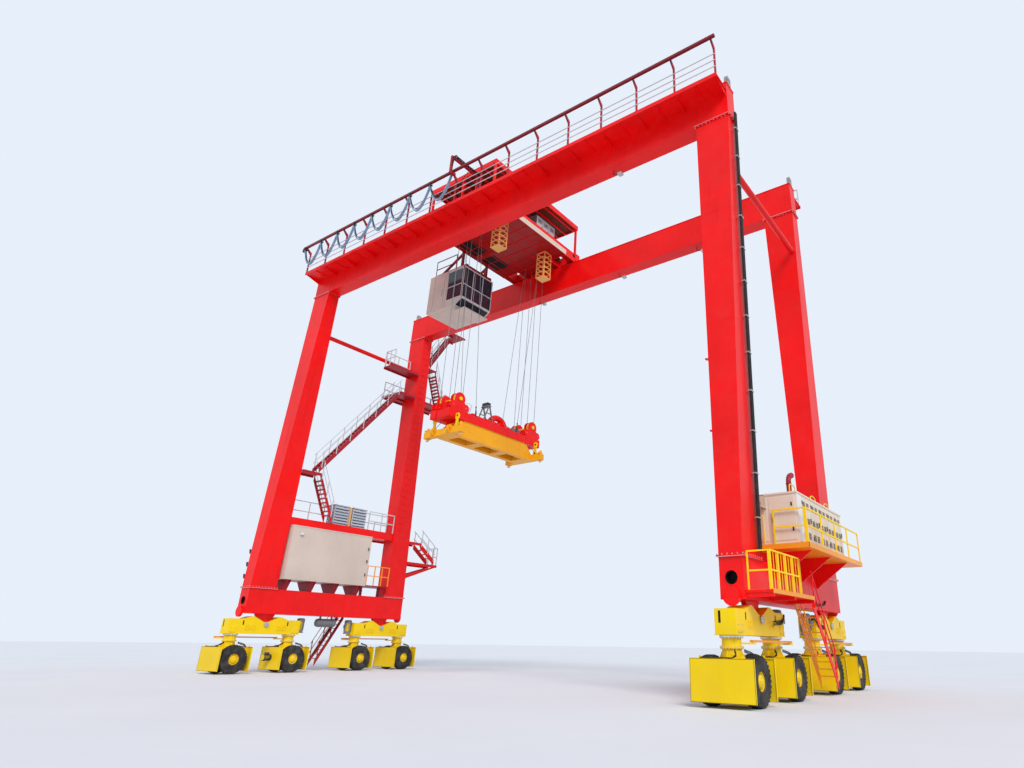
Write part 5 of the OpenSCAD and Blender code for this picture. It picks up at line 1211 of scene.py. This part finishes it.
# %% Sheaves
half_rim = [(SHEAVE_R - 0.055, 0.028), (SHEAVE_R - 0.03, 0.05), (SHEAVE_R, 0.055), (SHEAVE_R, 0.042),
            (SHEAVE_R - 0.022, 0.016)]
rim = [(radius, -side) for radius, side in half_rim] + [(SHEAVE_R - 0.027, 0.0)] + half_rim[::-1]
rim.append(rim[0])
web = [(0.09, -0.032), (SHEAVE_R - 0.04, -0.058), (SHEAVE_R - 0.04, 0.058), (0.09, 0.032)]
for name, sy in (("near", -1), ("far", 1)):
    y, parts = sy * ROPE_Y, []
    for x in (DRUM_X - ROPE_X, DRUM_X + ROPE_X):
        centre = (x, y, SHEAVE_Z)
        parts += [turned(rim, centre, "x", 48),
                  lathe([(0.095, -0.055), (0.105, -0.045), (0.105, 0.045), (0.095, 0.055)], centre),
                  spokes(web, -0.014, 0.014, 8, centre, "x")]
    parts.append(bars((DRUM_X - 0.70, y, SHEAVE_Z), (DRUM_X + 0.70, y, SHEAVE_Z), 0.07, 28))
    parts += [hoop(0, 0.095, *about(DRUM_X + end, 0.02), (0, y, SHEAVE_Z), "x", 24) for end in (-0.685, 0.685)]
    piece(f"{name}_sheave_pair", f"{name}_grooved_sheaves", parts, yellow, replaces=[f"{name}_sheaves"])

# %% [markdown]
# ## Headblock
# The headblock is a ladder of two long beams. On it stand a cable basket, which is a
# cage of rods that catches the falling power cable, a small A-shaped stand with a work
# lamp, a pump box, a bent duct, and pipes along the beams. Bolted collars ring the
# tube in the middle. Everything on its top is drawn from the headblock's upper face.

# %% Headblock
HEAD_TOP, HEAD_LOW, SPREADER_LOW = 11.87, 11.45, 10.64
collars = [hoop(0.325, 0.375, y - 0.035, y + 0.035, (DRUM_X, 0, HEAD_TOP), "y", 40)
           for y in (-1.26, -0.42, 0.30, 1.26)]
head_bolts = [bolts(ring_of(14, 0.35, (DRUM_X, y + t * 0.035, HEAD_TOP), "y"), "y", 0.013, t * 0.014)
              for y in (-1.26, 1.26) for t in (-1, 1)]
straps = [box(about(x, 0.20), about([-3.25, -2.25, -0.8, 0.8, 2.25, 3.25], 0.03),
              (HEAD_LOW - 0.012, HEAD_TOP + 0.012))
          for x in (DRUM_X - ROPE_X, DRUM_X + ROPE_X)]
guards = []
for sx, sy in product((-1, 1), (-1, 1)):
    middle, y = DRUM_X + sx * ROPE_X, sy * ROPE_Y
    for side in (-1, 1):
        x = middle + side * 0.178
        head_bolts.append(bolts(ring_of(6, 0.105, (x, y, SHEAVE_Z)), "x", 0.012, side * 0.012))
        collars.append(hoop(0, 0.13, *about(x - side * 0.006, 0.006), (0, y, SHEAVE_Z), "x", 32))
    for dy, dz in ((0.0, SHEAVE_R + 0.042), (0.42, -0.394), (-0.42, -0.394)):
        guards.append(bars((middle - 0.185, y + dy, SHEAVE_Z + dz), (middle + 0.185, y + dy, SHEAVE_Z + dz), 0.02,
                           10))
a = np.linspace(0, 2 * np.pi, 19)[:-1]
basket = [pipe(rows(radius * np.cos(a), radius * np.sin(a), z), 0.011, 6, closed=True)
          for radius, z in ((0.30, 0.03), (0.33, 0.22), (0.37, 0.42), (0.41, 0.62))]
basket.append(bars(rows(0.30 * np.cos(a), 0.30 * np.sin(a), 0.02), rows(0.41 * np.cos(a), 0.41 * np.sin(a), 0.63),
                   0.007, 5))
a = np.linspace(0, 2 * np.pi * 5, 150)
coil = pipe(rows(0.24 * np.cos(a), 0.24 * np.sin(a), 0.05 + 0.045 * a / (2 * np.pi)), 0.019, 7)
stand = []
for x in (-0.22, 0.22):
    stand += [beams([(x, -0.62, 0.20), (x, 0.02, 0.20)], [(x, -0.33, 1.02), (x, -0.27, 1.02)], 0.05, 0.07,
                    (1, 0, 0)),
              beams((x, -0.52, 0.62), (x, -0.10, 0.62), 0.04, 0.05, (1, 0, 0))]
stand += [box((-0.26, 0.26), (-0.42, -0.18), (1.0, 1.05)), box((-0.34, 0.34), (1.45, 2.05), (-0.002, 0.30))]
stand_lamp = box((-0.20, 0.20), (-0.42, -0.18), (1.05, 1.22))
hump = tube([(0, 0.05, 0.18), (0, 0.12, 0.42), (0, 0.45, 0.62), (0, 0.85, 0.58), (0, 1.10, 0.35), (0, 1.18, 0.02)],
            30, 0.16, 16)
pipes = [tube([(x, -1.60, 0.06), (x, -1.1, 0.02), (x - 0.12, -0.2, 0.02), (x - 0.12, 1.5, 0.02), (x, 2.0, 0.06),
               (x, 2.35, -0.3), (x, 2.42, HEAD_LOW - HEAD_TOP - 0.15)], 44, 0.014, 6)
               for x in (-0.20, -0.235, -0.27)]
top = (DRUM_X, 0, HEAD_TOP)
on_gear("headblock_collars", collars, red)
on_gear("headblock_bolts", head_bolts, bolt_steel)
on_gear("headblock_straps", straps, red, soften=0.003)
on_gear("rope_guards", guards, zinc)
on_gear("cable_basket", basket, white, "grey_paint", at=(DRUM_X, -1.85, HEAD_TOP))
on_gear("basket_coil", coil, black_cable, at=(DRUM_X, -1.85, HEAD_TOP), sharp=60)
on_gear("lamp_stand", stand, grey, at=top, soften=0.004)
on_gear("stand_lamp", stand_lamp, dark_grey, at=top, soften=0.012)
on_gear("headblock_hump", hump, red, at=top, sharp=50)
on_gear("headblock_lines", pipes, black_cable, at=top, sharp=60)

# %% [markdown]
# ## Spreader
# The spreader is a welded box with a skin of thick plates. It shows rolled edges round
# its openings, lugs with eyes on its end beams, guide brackets like bones at the
# corners, and four twistlocks: a housing with a head that turns inside a casting. The
# eyes are near black discs, painted shade for the holes.

# %% Spreader
EYE_Z, BONE_X = 10.87, 0.78
edges, eyes, brackets, housings, locks, ribs, hoses = ([] for _ in range(7))
for y in (-1.7, 0.0, 1.7):
    edges.append(box(about(DRUM_X, 0.40), (y + np.array([-0.64, 0.60]), y + np.array([-0.60, 0.64])),
                     (HEAD_LOW - 0.09, HEAD_LOW + 0.006)))
    edges.append(box((DRUM_X + np.array([-0.40, 0.36]), DRUM_X + np.array([-0.36, 0.40])), about(y, 0.60),
                     (HEAD_LOW - 0.09, HEAD_LOW + 0.006)))
for wall in (DRUM_X - 0.62, DRUM_X + 0.62):
    ribs += [box(about(wall, 0.008), about([-2.1, -0.85, 0.85, 2.1], 0.018),
                 (SPREADER_LOW + 0.02, HEAD_LOW - 0.02)),
             box(about(wall, 0.02), (-2.25, 2.25), (HEAD_LOW - 0.03, HEAD_LOW + 0.004)),
             box(about(wall, 0.02), (-2.70, 2.70), (SPREADER_LOW - 0.004, SPREADER_LOW + 0.03))]
    edges.append(box(about(wall, 0.008), about([-1.7, 0.0, 1.7], 0.20), (10.98, 11.16)))
half_bone = [(0.15, 10.94), (0.14, 11.06), (0.085, 11.16), (0.08, 11.34), (0.14, 11.44), (0.15, 11.56),
             (0.08, 11.66)]
other_half = [(-x, z) for x, z in half_bone]
bone = other_half[:1] + half_bone + other_half[:0:-1]
for s, sx in product((-1, 1), (-1, 1)):
    y, x = s * 3.0765, DRUM_X + sx * 0.54
    # Near black disc in each lug's eye: painted shade for the hole.
    eyes.append(hoop(0, 0.085, *about(y + s * 0.036, 0.016), (x, 0, EYE_Z), "y"))
    edges.append(hoop(0.085, 0.13, y + s * 0.02, y + s * 0.056, (x, 0, EYE_Z), "y", 32))
    cx, cy = DRUM_X + sx * 1.13, s * 2.9265
    housings += [turned([(0, 10.93), (0.115, 10.93), (0.115, 11.02), (0.085, 11.05), (0.05, 11.16), (0, 11.16)],
                        (cx, cy, 0), "z", 28),
                 box(about(cx, 0.105), about(cy, 0.135), (10.615, 10.65)),
                 box(about(cx, 0.05), (cy - 0.20, cy), (10.98, 11.02))]
    locks += [turned([(0, 10.49), (0.02, 10.49), (0.052, 10.535), (0.052, 10.565), (0.034, 10.58), (0.034, 10.64),
                      (0, 10.64)], (cx, cy, 0), "z", 24),
              box(about(cx, 0.085), about(cy, 0.03), (10.525, 10.568))]
    hoses.append(tube([(DRUM_X + sx * 0.45, s * 2.75, 11.46), (DRUM_X + sx * 0.66, s * 2.80, 11.22),
                       (DRUM_X + sx * 0.80, s * 2.88, 11.02), (DRUM_X + sx * 1.0, s * 2.90, 11.0),
                       (cx, cy - s * 0.16, 11.0)], 24, 0.012, 6))
    x, y = DRUM_X + sx * BONE_X, s * 2.88
    brackets += [box(about(DRUM_X + sx * 0.95, 0.012), (s * 2.7765, s * 3.06), (10.94, 11.02)),
                 moved(plate(bone, y - 0.02, y + 0.02), (x, 0, 0))]
    # Near black discs in the bone's eyes: painted shade for the holes.
    eyes += [bars((x, y - 0.025, z), (x, y + 0.025, z), 0.045, 18) for z in (11.03, 11.53)]
on_gear("spreader_edges", edges, spreader_orange, soften=0.003)
on_gear("spreader_ribs", ribs, spreader_orange)
on_gear("spreader_eyes", eyes, shade_and_joint_black)
on_gear("spreader_brackets", brackets, yellow, soften=0.004)
on_gear("twistlock_housings", housings, spreader_orange)
on_gear("twistlocks", locks, bright_steel)
on_gear("spreader_hoses", hoses, black_cable, sharp=60)

# %% [markdown]
# ## Electric house and resistors
# The house on the left is a steel container: its long wall is made of panels with dark
# joints, door leaves with handles, and a lamp at its corner. The resistor cases above it
# are louvred, so each slat leans outwards and throws a thin shadow.

# %% Left side
HOUSE_X0, HOUSE_X1, HOUSE_Y0, HOUSE_Y1, HOUSE_Z0, HOUSE_Z1 = -14.10, -12.60, -3.30, 1.70, 4.47, 7.27
PULL_X, CASE_LOW, CASE_TOP, TANK = -13.08, 7.705, 8.80, (-13.25, 0, 2.42)
joints, leaves, pulls, slats, frames = ([] for _ in range(5))
seams, pull_z = [], np.array([5.0, 5.75, 6.45])
for face, out in ((HOUSE_X1, 1), (HOUSE_X0, -1)):
    seams.append(box((face - 0.003, face + out * 0.004), about(np.linspace(HOUSE_Y0, HOUSE_Y1, 5)[1:-1], 0.02),
                     (HOUSE_Z0 + 0.06, HOUSE_Z1 - 0.06)))
    pulls.append(box((face - 0.01, face + out * 0.05), (1.56, 1.60), (pull_z, pull_z + 0.16)))
vent_z = HOUSE_Z0 + 1.75 + 0.05 * np.arange(6)
for y0, y1 in ((-3.18, -2.38), (0.60, 1.40)):
    leaves.append(box((HOUSE_X0 - 0.022, HOUSE_X0 + 0.002), (y0, y1), (HOUSE_Z0 + 0.12, HOUSE_Z0 + 2.25)))
    pulls.append(box((HOUSE_X0 - 0.06, HOUSE_X0 - 0.022), (y1 - 0.12, y1 - 0.08),
                     (HOUSE_Z0 + 1.02, HOUSE_Z0 + 1.30)))
    # Near black strips across each leaf: painted shade for its vent openings.
    joints.append(box((HOUSE_X0 - 0.027, HOUSE_X0 - 0.020), (y0 + 0.14, y1 - 0.14), (vent_z, vent_z + 0.02)))
trims = [box((HOUSE_X0 - 0.018, HOUSE_X1 + 0.018), (HOUSE_Y0 - 0.018, HOUSE_Y1 + 0.018),
             about([HOUSE_Z0 + 0.03, HOUSE_Z1 - 0.03], 0.03))]
trims += [box(about(x, 0.02), about([HOUSE_Y0, HOUSE_Y1], 0.02), (HOUSE_Z0, HOUSE_Z1))
          for x in (HOUSE_X0, HOUSE_X1)]
joints.append(box(about([HOUSE_X0 + 0.5, HOUSE_X0 + 1.0], 0.006), (HOUSE_Y0 - 0.004, HOUSE_Y0 + 0.01),
                  (HOUSE_Z0 + 0.08, HOUSE_Z1 - 0.08)))
lamps = [box((HOUSE_X1 + 0.02, HOUSE_X1 + 0.10), (-2.86, -2.68), (6.78, 6.92)),
         bars((HOUSE_X1, -2.77, 6.90), (HOUSE_X1 + 0.09, -2.77, 6.90), 0.02),
         box((HOUSE_X0 + 0.6, HOUSE_X0 + 0.9), (HOUSE_Y1 + 0.03, HOUSE_Y1 + 0.13), (6.62, 6.74))]
pulls += [bars((PULL_X, HOUSE_Y1 + 0.08, 5.4), (PULL_X, HOUSE_Y1 + 0.08, 5.7), 0.014),
          bars(rows(PULL_X, HOUSE_Y1 + 0.02, [5.42, 5.68]), rows(PULL_X, HOUSE_Y1 + 0.08, [5.42, 5.68]), 0.012)]
slat = [(0.0, 0.105), (0.006, 0.115), (0.075, 0.012), (0.069, 0.0)]
for y0, y1 in ((-0.85, 0.10), (0.35, 1.30)):
    for x, out in ((-13.55, -1), (-12.95, 1)):
        deep = (x - 0.01, x + out * 0.034)
        slats.append(louvres(slat, x, out, y0 + 0.03, y1 - 0.03, 7.80 + 0.162 * np.arange(6)))
        frames += [box(deep, about([y0 + 0.018, y1 - 0.018], 0.018), (CASE_LOW, CASE_TOP)),
                   box(deep, (y0, y1), ([CASE_LOW, CASE_TOP - 0.035], [CASE_LOW + 0.035, CASE_TOP]))]
    frames += [box((-13.60, -12.90), (y0 - 0.02, y1 + 0.02), (CASE_TOP, CASE_TOP + 0.03)),
               bars(rows([-13.45, -13.05], y0 + 0.1, 8.83), rows([-13.45, -13.05], y0 + 0.1, 8.90), 0.018)]
trestles = [plate([(-13.58, 3.952), (-12.92, 3.952), (-12.62, 4.462), (-13.98, 4.462)], y + face, y + face + 0.014)
            for y in HOUSE_Y0 + 0.345 + np.arange(4) * 4.3 / 3 for face in (-0.138, 0.124)]
tank = [turned([(0, -0.62), (0.12, -0.60), (0.19, -0.55), (0.21, -0.48), (0.21, 0.48), (0.19, 0.55), (0.12, 0.60),
                (0, 0.62)], TANK, "y", 28)]
for y in (-0.35, 0.35):
    tank += [hoop(0.205, 0.222, y - 0.03, y + 0.03, TANK, "y"),
             box((-13.30, -13.20), about(y, 0.03), (2.60, 2.752))]
on_portal("house_joints", joints, shade_and_joint_black)
on_portal("house_seams", seams, beige)
on_portal("house_leaves", leaves, beige, soften=0.004)
on_portal("house_pulls", pulls, dark_grey)
on_portal("house_trims", trims, beige, soften=0.004)
on_portal("house_lamps", lamps, lamp_glass, soften=0.008)
on_portal("resistor_slats", slats, slat_grey)
on_portal("resistor_frames", frames, pale_grey)
on_portal("trestle_plates", trestles, maroon)
on_portal("air_tank", tank, grey)

# %% [markdown]
# ## Power house
# The engine stands in a cream housing on the right. Its long side has doors with rows
# of louvres, one white door at the corner, hinges and latches; the near end has a tan
# air hood with a mesh of bars. Tubular hoops guard the roof's edge, and rings clasp
# the bent exhaust.

# %% Power house
POWER_X0, POWER_X1, POWER_Y, POWER_Z0, POWER_Z1 = 12.65, 14.65, 2.5, 4.51, 6.16
EXHAUST_X, LADDER_Y, DECK_EDGE = 13.95, -2.60, 14.978
HOOD = (12.70, 13.62)
panels, vents, hinges, hoops = ([] for _ in range(4))
vent = [(0.019, 0.0), (0.019, 0.040), (0.040, 0.002)]
hinge_z = POWER_Z0 + np.array([0.25, 1.30])
door_y = np.linspace(-POWER_Y + 0.42, POWER_Y - 0.06, 6)
for (face, out), (a, b) in product(((POWER_X1, 1), (POWER_X0, -1)),
                                   list(zip(door_y[:-1] + 0.02, door_y[1:] - 0.02))):
    panels.append(box((face - out * 0.002, face + out * 0.020), (a, b), (POWER_Z0 + 0.10, POWER_Z1 - 0.12)))
    vents += [louvres(vent, face, out, c, c + (b - a) / 2 - 0.20, low + 0.055 * np.arange(4))
              for low in (POWER_Z0 + 0.24, POWER_Z0 + 0.70, POWER_Z1 - 0.44)
              for c in (a + 0.08, (a + b) / 2 + 0.02)]
    hinges += [box((face + out * 0.018, face + out * 0.036), (a + 0.01, a + 0.05), (hinge_z, hinge_z + 0.12)),
               box((face + out * 0.018, face + out * 0.042), (b - 0.09, b - 0.05),
                   (POWER_Z0 + 0.78, POWER_Z0 + 0.94))]
corner_panel = box((POWER_X1 - 0.002, POWER_X1 + 0.024), (-POWER_Y + 0.03, -POWER_Y + 0.40),
                   (POWER_Z0 + 0.06, POWER_Z1 - 0.08))
roof_edge = [box((POWER_X0 - 0.03, POWER_X1 + 0.03), about(0, POWER_Y + 0.03), (POWER_Z1 - 0.05, POWER_Z1 + 0.004)),
             box(about([13.15, 13.65, 14.15], 0.015), about(0, POWER_Y + 0.03), (POWER_Z1, POWER_Z1 + 0.02))]
t = np.linspace(0, np.pi, 13)
for x, y in product((12.95, 14.35), (-1.9, 0.3, 1.9)):
    arch = rows(x, y - 0.28 * np.cos(t), POWER_Z1 + 0.26 + 0.10 * np.sin(t))
    hoops.append(pipe([(x, y - 0.28, POWER_Z1), *arch, (x, y + 0.28, POWER_Z1)], 0.019))
near = (-POWER_Y - 0.018, -POWER_Y + 0.002)
panels += [box((POWER_X0 + 1.06, POWER_X1 - 0.08), near, (POWER_Z0 + 0.12, POWER_Z1 - 0.14)),
           box((POWER_X0 + 0.08, POWER_X0 + 0.98), near, (POWER_Z0 + 0.12, 5.66)),
           box((POWER_X0 + 0.10, POWER_X1 - 0.10), (POWER_Y - 0.002, POWER_Y + 0.018),
               (POWER_Z0 + 0.12, POWER_Z1 - 0.14))]
hinges.append(box(([13.80, 14.45, 14.45], [13.84, 14.50, 14.50]), ([-2.54, -2.53, -2.53], -2.516),
                  ([5.2, 4.9, 5.7], [5.38, 5.02, 5.82])))
mesh_x = np.linspace(12.80, 13.52, 13)
hood_bars = bars(rows(mesh_x, -2.925, 5.70), rows(mesh_x, -2.925, 5.85), 0.006, 5)
hood_edges = [box(HOOD, (-2.93, -2.90), ([5.69, 5.835], [5.72, 5.865])), box(HOOD, (-2.70, -2.49), (6.105, 6.125)),
              box(([12.695, 13.605], [12.715, 13.625]), (-2.90, -2.49), (5.69, 5.72))]
exhaust = [hoop(0.088, 0.105, -0.66, -0.69, (EXHAUST_X, 0, 7.136), "y")]
exhaust += [hoop(inner, outer, z, z + 0.03, (EXHAUST_X, -1.0, 0), "z")
            for inner, outer, z in ((0.09, 0.16, 6.18), (0.088, 0.104, 6.45), (0.088, 0.104, 6.76))]
edge_band = [box((POWER_X0 - 0.006, DECK_EDGE), (-2.658, -2.645), (4.355, 4.515)),
             box((DECK_EDGE - 0.013, DECK_EDGE), (-2.658, 3.658), (4.355, 4.515)),
             box((13.90, DECK_EDGE), (3.645, 3.658), (4.355, 4.515))]
bar_y, post_y = np.arange(-4.6, -1.1, 0.24), np.arange(-4.60, -2.05, 0.21)
walk_bars = [box((13.63, 14.45), (bar_y, bar_y + 0.012), (3.0, 3.012)),
             box((14.44, 14.456), (-4.69, -1.0), (2.90, 3.02))]
rung_z = [4.75, 5.0, 5.25, 5.5]
ladder = [bars(rows([12.86, 13.26], LADDER_Y, 4.51), rows([12.86, 13.26], LADDER_Y, 5.62), 0.022),
          bars(rows(12.86, LADDER_Y, rung_z), rows(13.26, LADDER_Y, rung_z), 0.015),
          bars(rows(13.52, LADDER_Y, [4.51, 5.45]), rows([13.52, 13.26], LADDER_Y, 5.45), 0.018)]
walk_posts = bars(rows(14.41, post_y, 3.0), rows(14.41, post_y, 4.08), 0.012, 6)
on_portal("deck_ladder", ladder, yellow)
on_portal("deck_step_box", box((12.80, 13.34), (-2.64, -2.51), (4.512, 4.74)), red, soften=0.006)
on_portal("walk_posts", walk_posts, yellow)
on_portal("power_panels", panels, cream, soften=0.004)
on_portal("power_vents", vents, vent_tan)
on_portal("power_corner_panel", corner_panel, white, soften=0.004)
on_portal("power_hinges", hinges, dark_grey)
on_portal("power_roof_edge", roof_edge, cream)
on_portal("power_roof_hoops", hoops, yellow, sharp=60)
on_portal("hood_bars", hood_bars, dark_grey)
on_portal("hood_edges", hood_edges, beige)
on_portal("exhaust_rings", exhaust, maroon)
on_portal("deck_edge_band", edge_band, orange)
on_portal("lower_walk_bars", walk_bars, orange)

# %% [markdown]
# ## Cables down the leg
# The supply cables run down the near right leg as a row of round leads held by clamps.
# The row leans with the leg, so each lead is a straight tube between the two ends of
# the frame's flat strip, which it replaces.

# %% Leg cables
low, high = (np.array(corner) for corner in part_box("cable_bundle"))
foot_x, head_x = low[0] + 0.06, high[0] - 0.06
lead_y = np.linspace(low[1] + 0.022, high[1] - 0.022, 6)
feet, heads = rows(foot_x - 0.02, lead_y, low[2] + 0.01), rows(head_x - 0.02, lead_y, high[2] - 0.01)
leads = [bars(feet, heads, 0.019), bars(feet[:-1] + (0.034, 0.02, 0), heads[:-1] + (0.034, 0.02, 0), 0.017)]
t = np.linspace(0.06, 0.95, 12)
x = foot_x + (head_x - foot_x) * t
clamps = box((x - 0.075, x + 0.045), about((low[1] + high[1]) / 2, 0.135),
             about(low[2] + (high[2] - low[2]) * t, 0.02))
sill_hoses = []
for (sx, sy), k in product(corners.values(), range(3)):
    cx, cy = sx * SPAN_X, sy * PIN_Y
    sill_hoses.append(tube([
        (cx + sx * 0.39, cy - sy * 0.6 - 0.08 * k, 3.1), (cx + sx * 0.42, cy - sy * 0.9 - 0.08 * k, 2.95),
        (cx + sx * 0.41, cy - sy * 1.6, 2.88 + 0.04 * k),
        (cx + sx * 0.405, cy - sy * (MOTOR_Y + 0.1), 2.92 + 0.04 * k)],
        24, 0.014, 6))
on_portal("leg_cables", leads, black_cable, replaces=["cable_bundle"], sharp=60)
on_portal("cable_clamps", clamps, zinc)
on_portal("sill_hoses", sill_hoses, black_cable, sharp=60)

# %% [markdown]
# ## Counts at the end
# The number of new pieces and of their faces is printed.

# %% Sizes and finish
print("pieces:", len(made), "faces:", sum(made.values()))
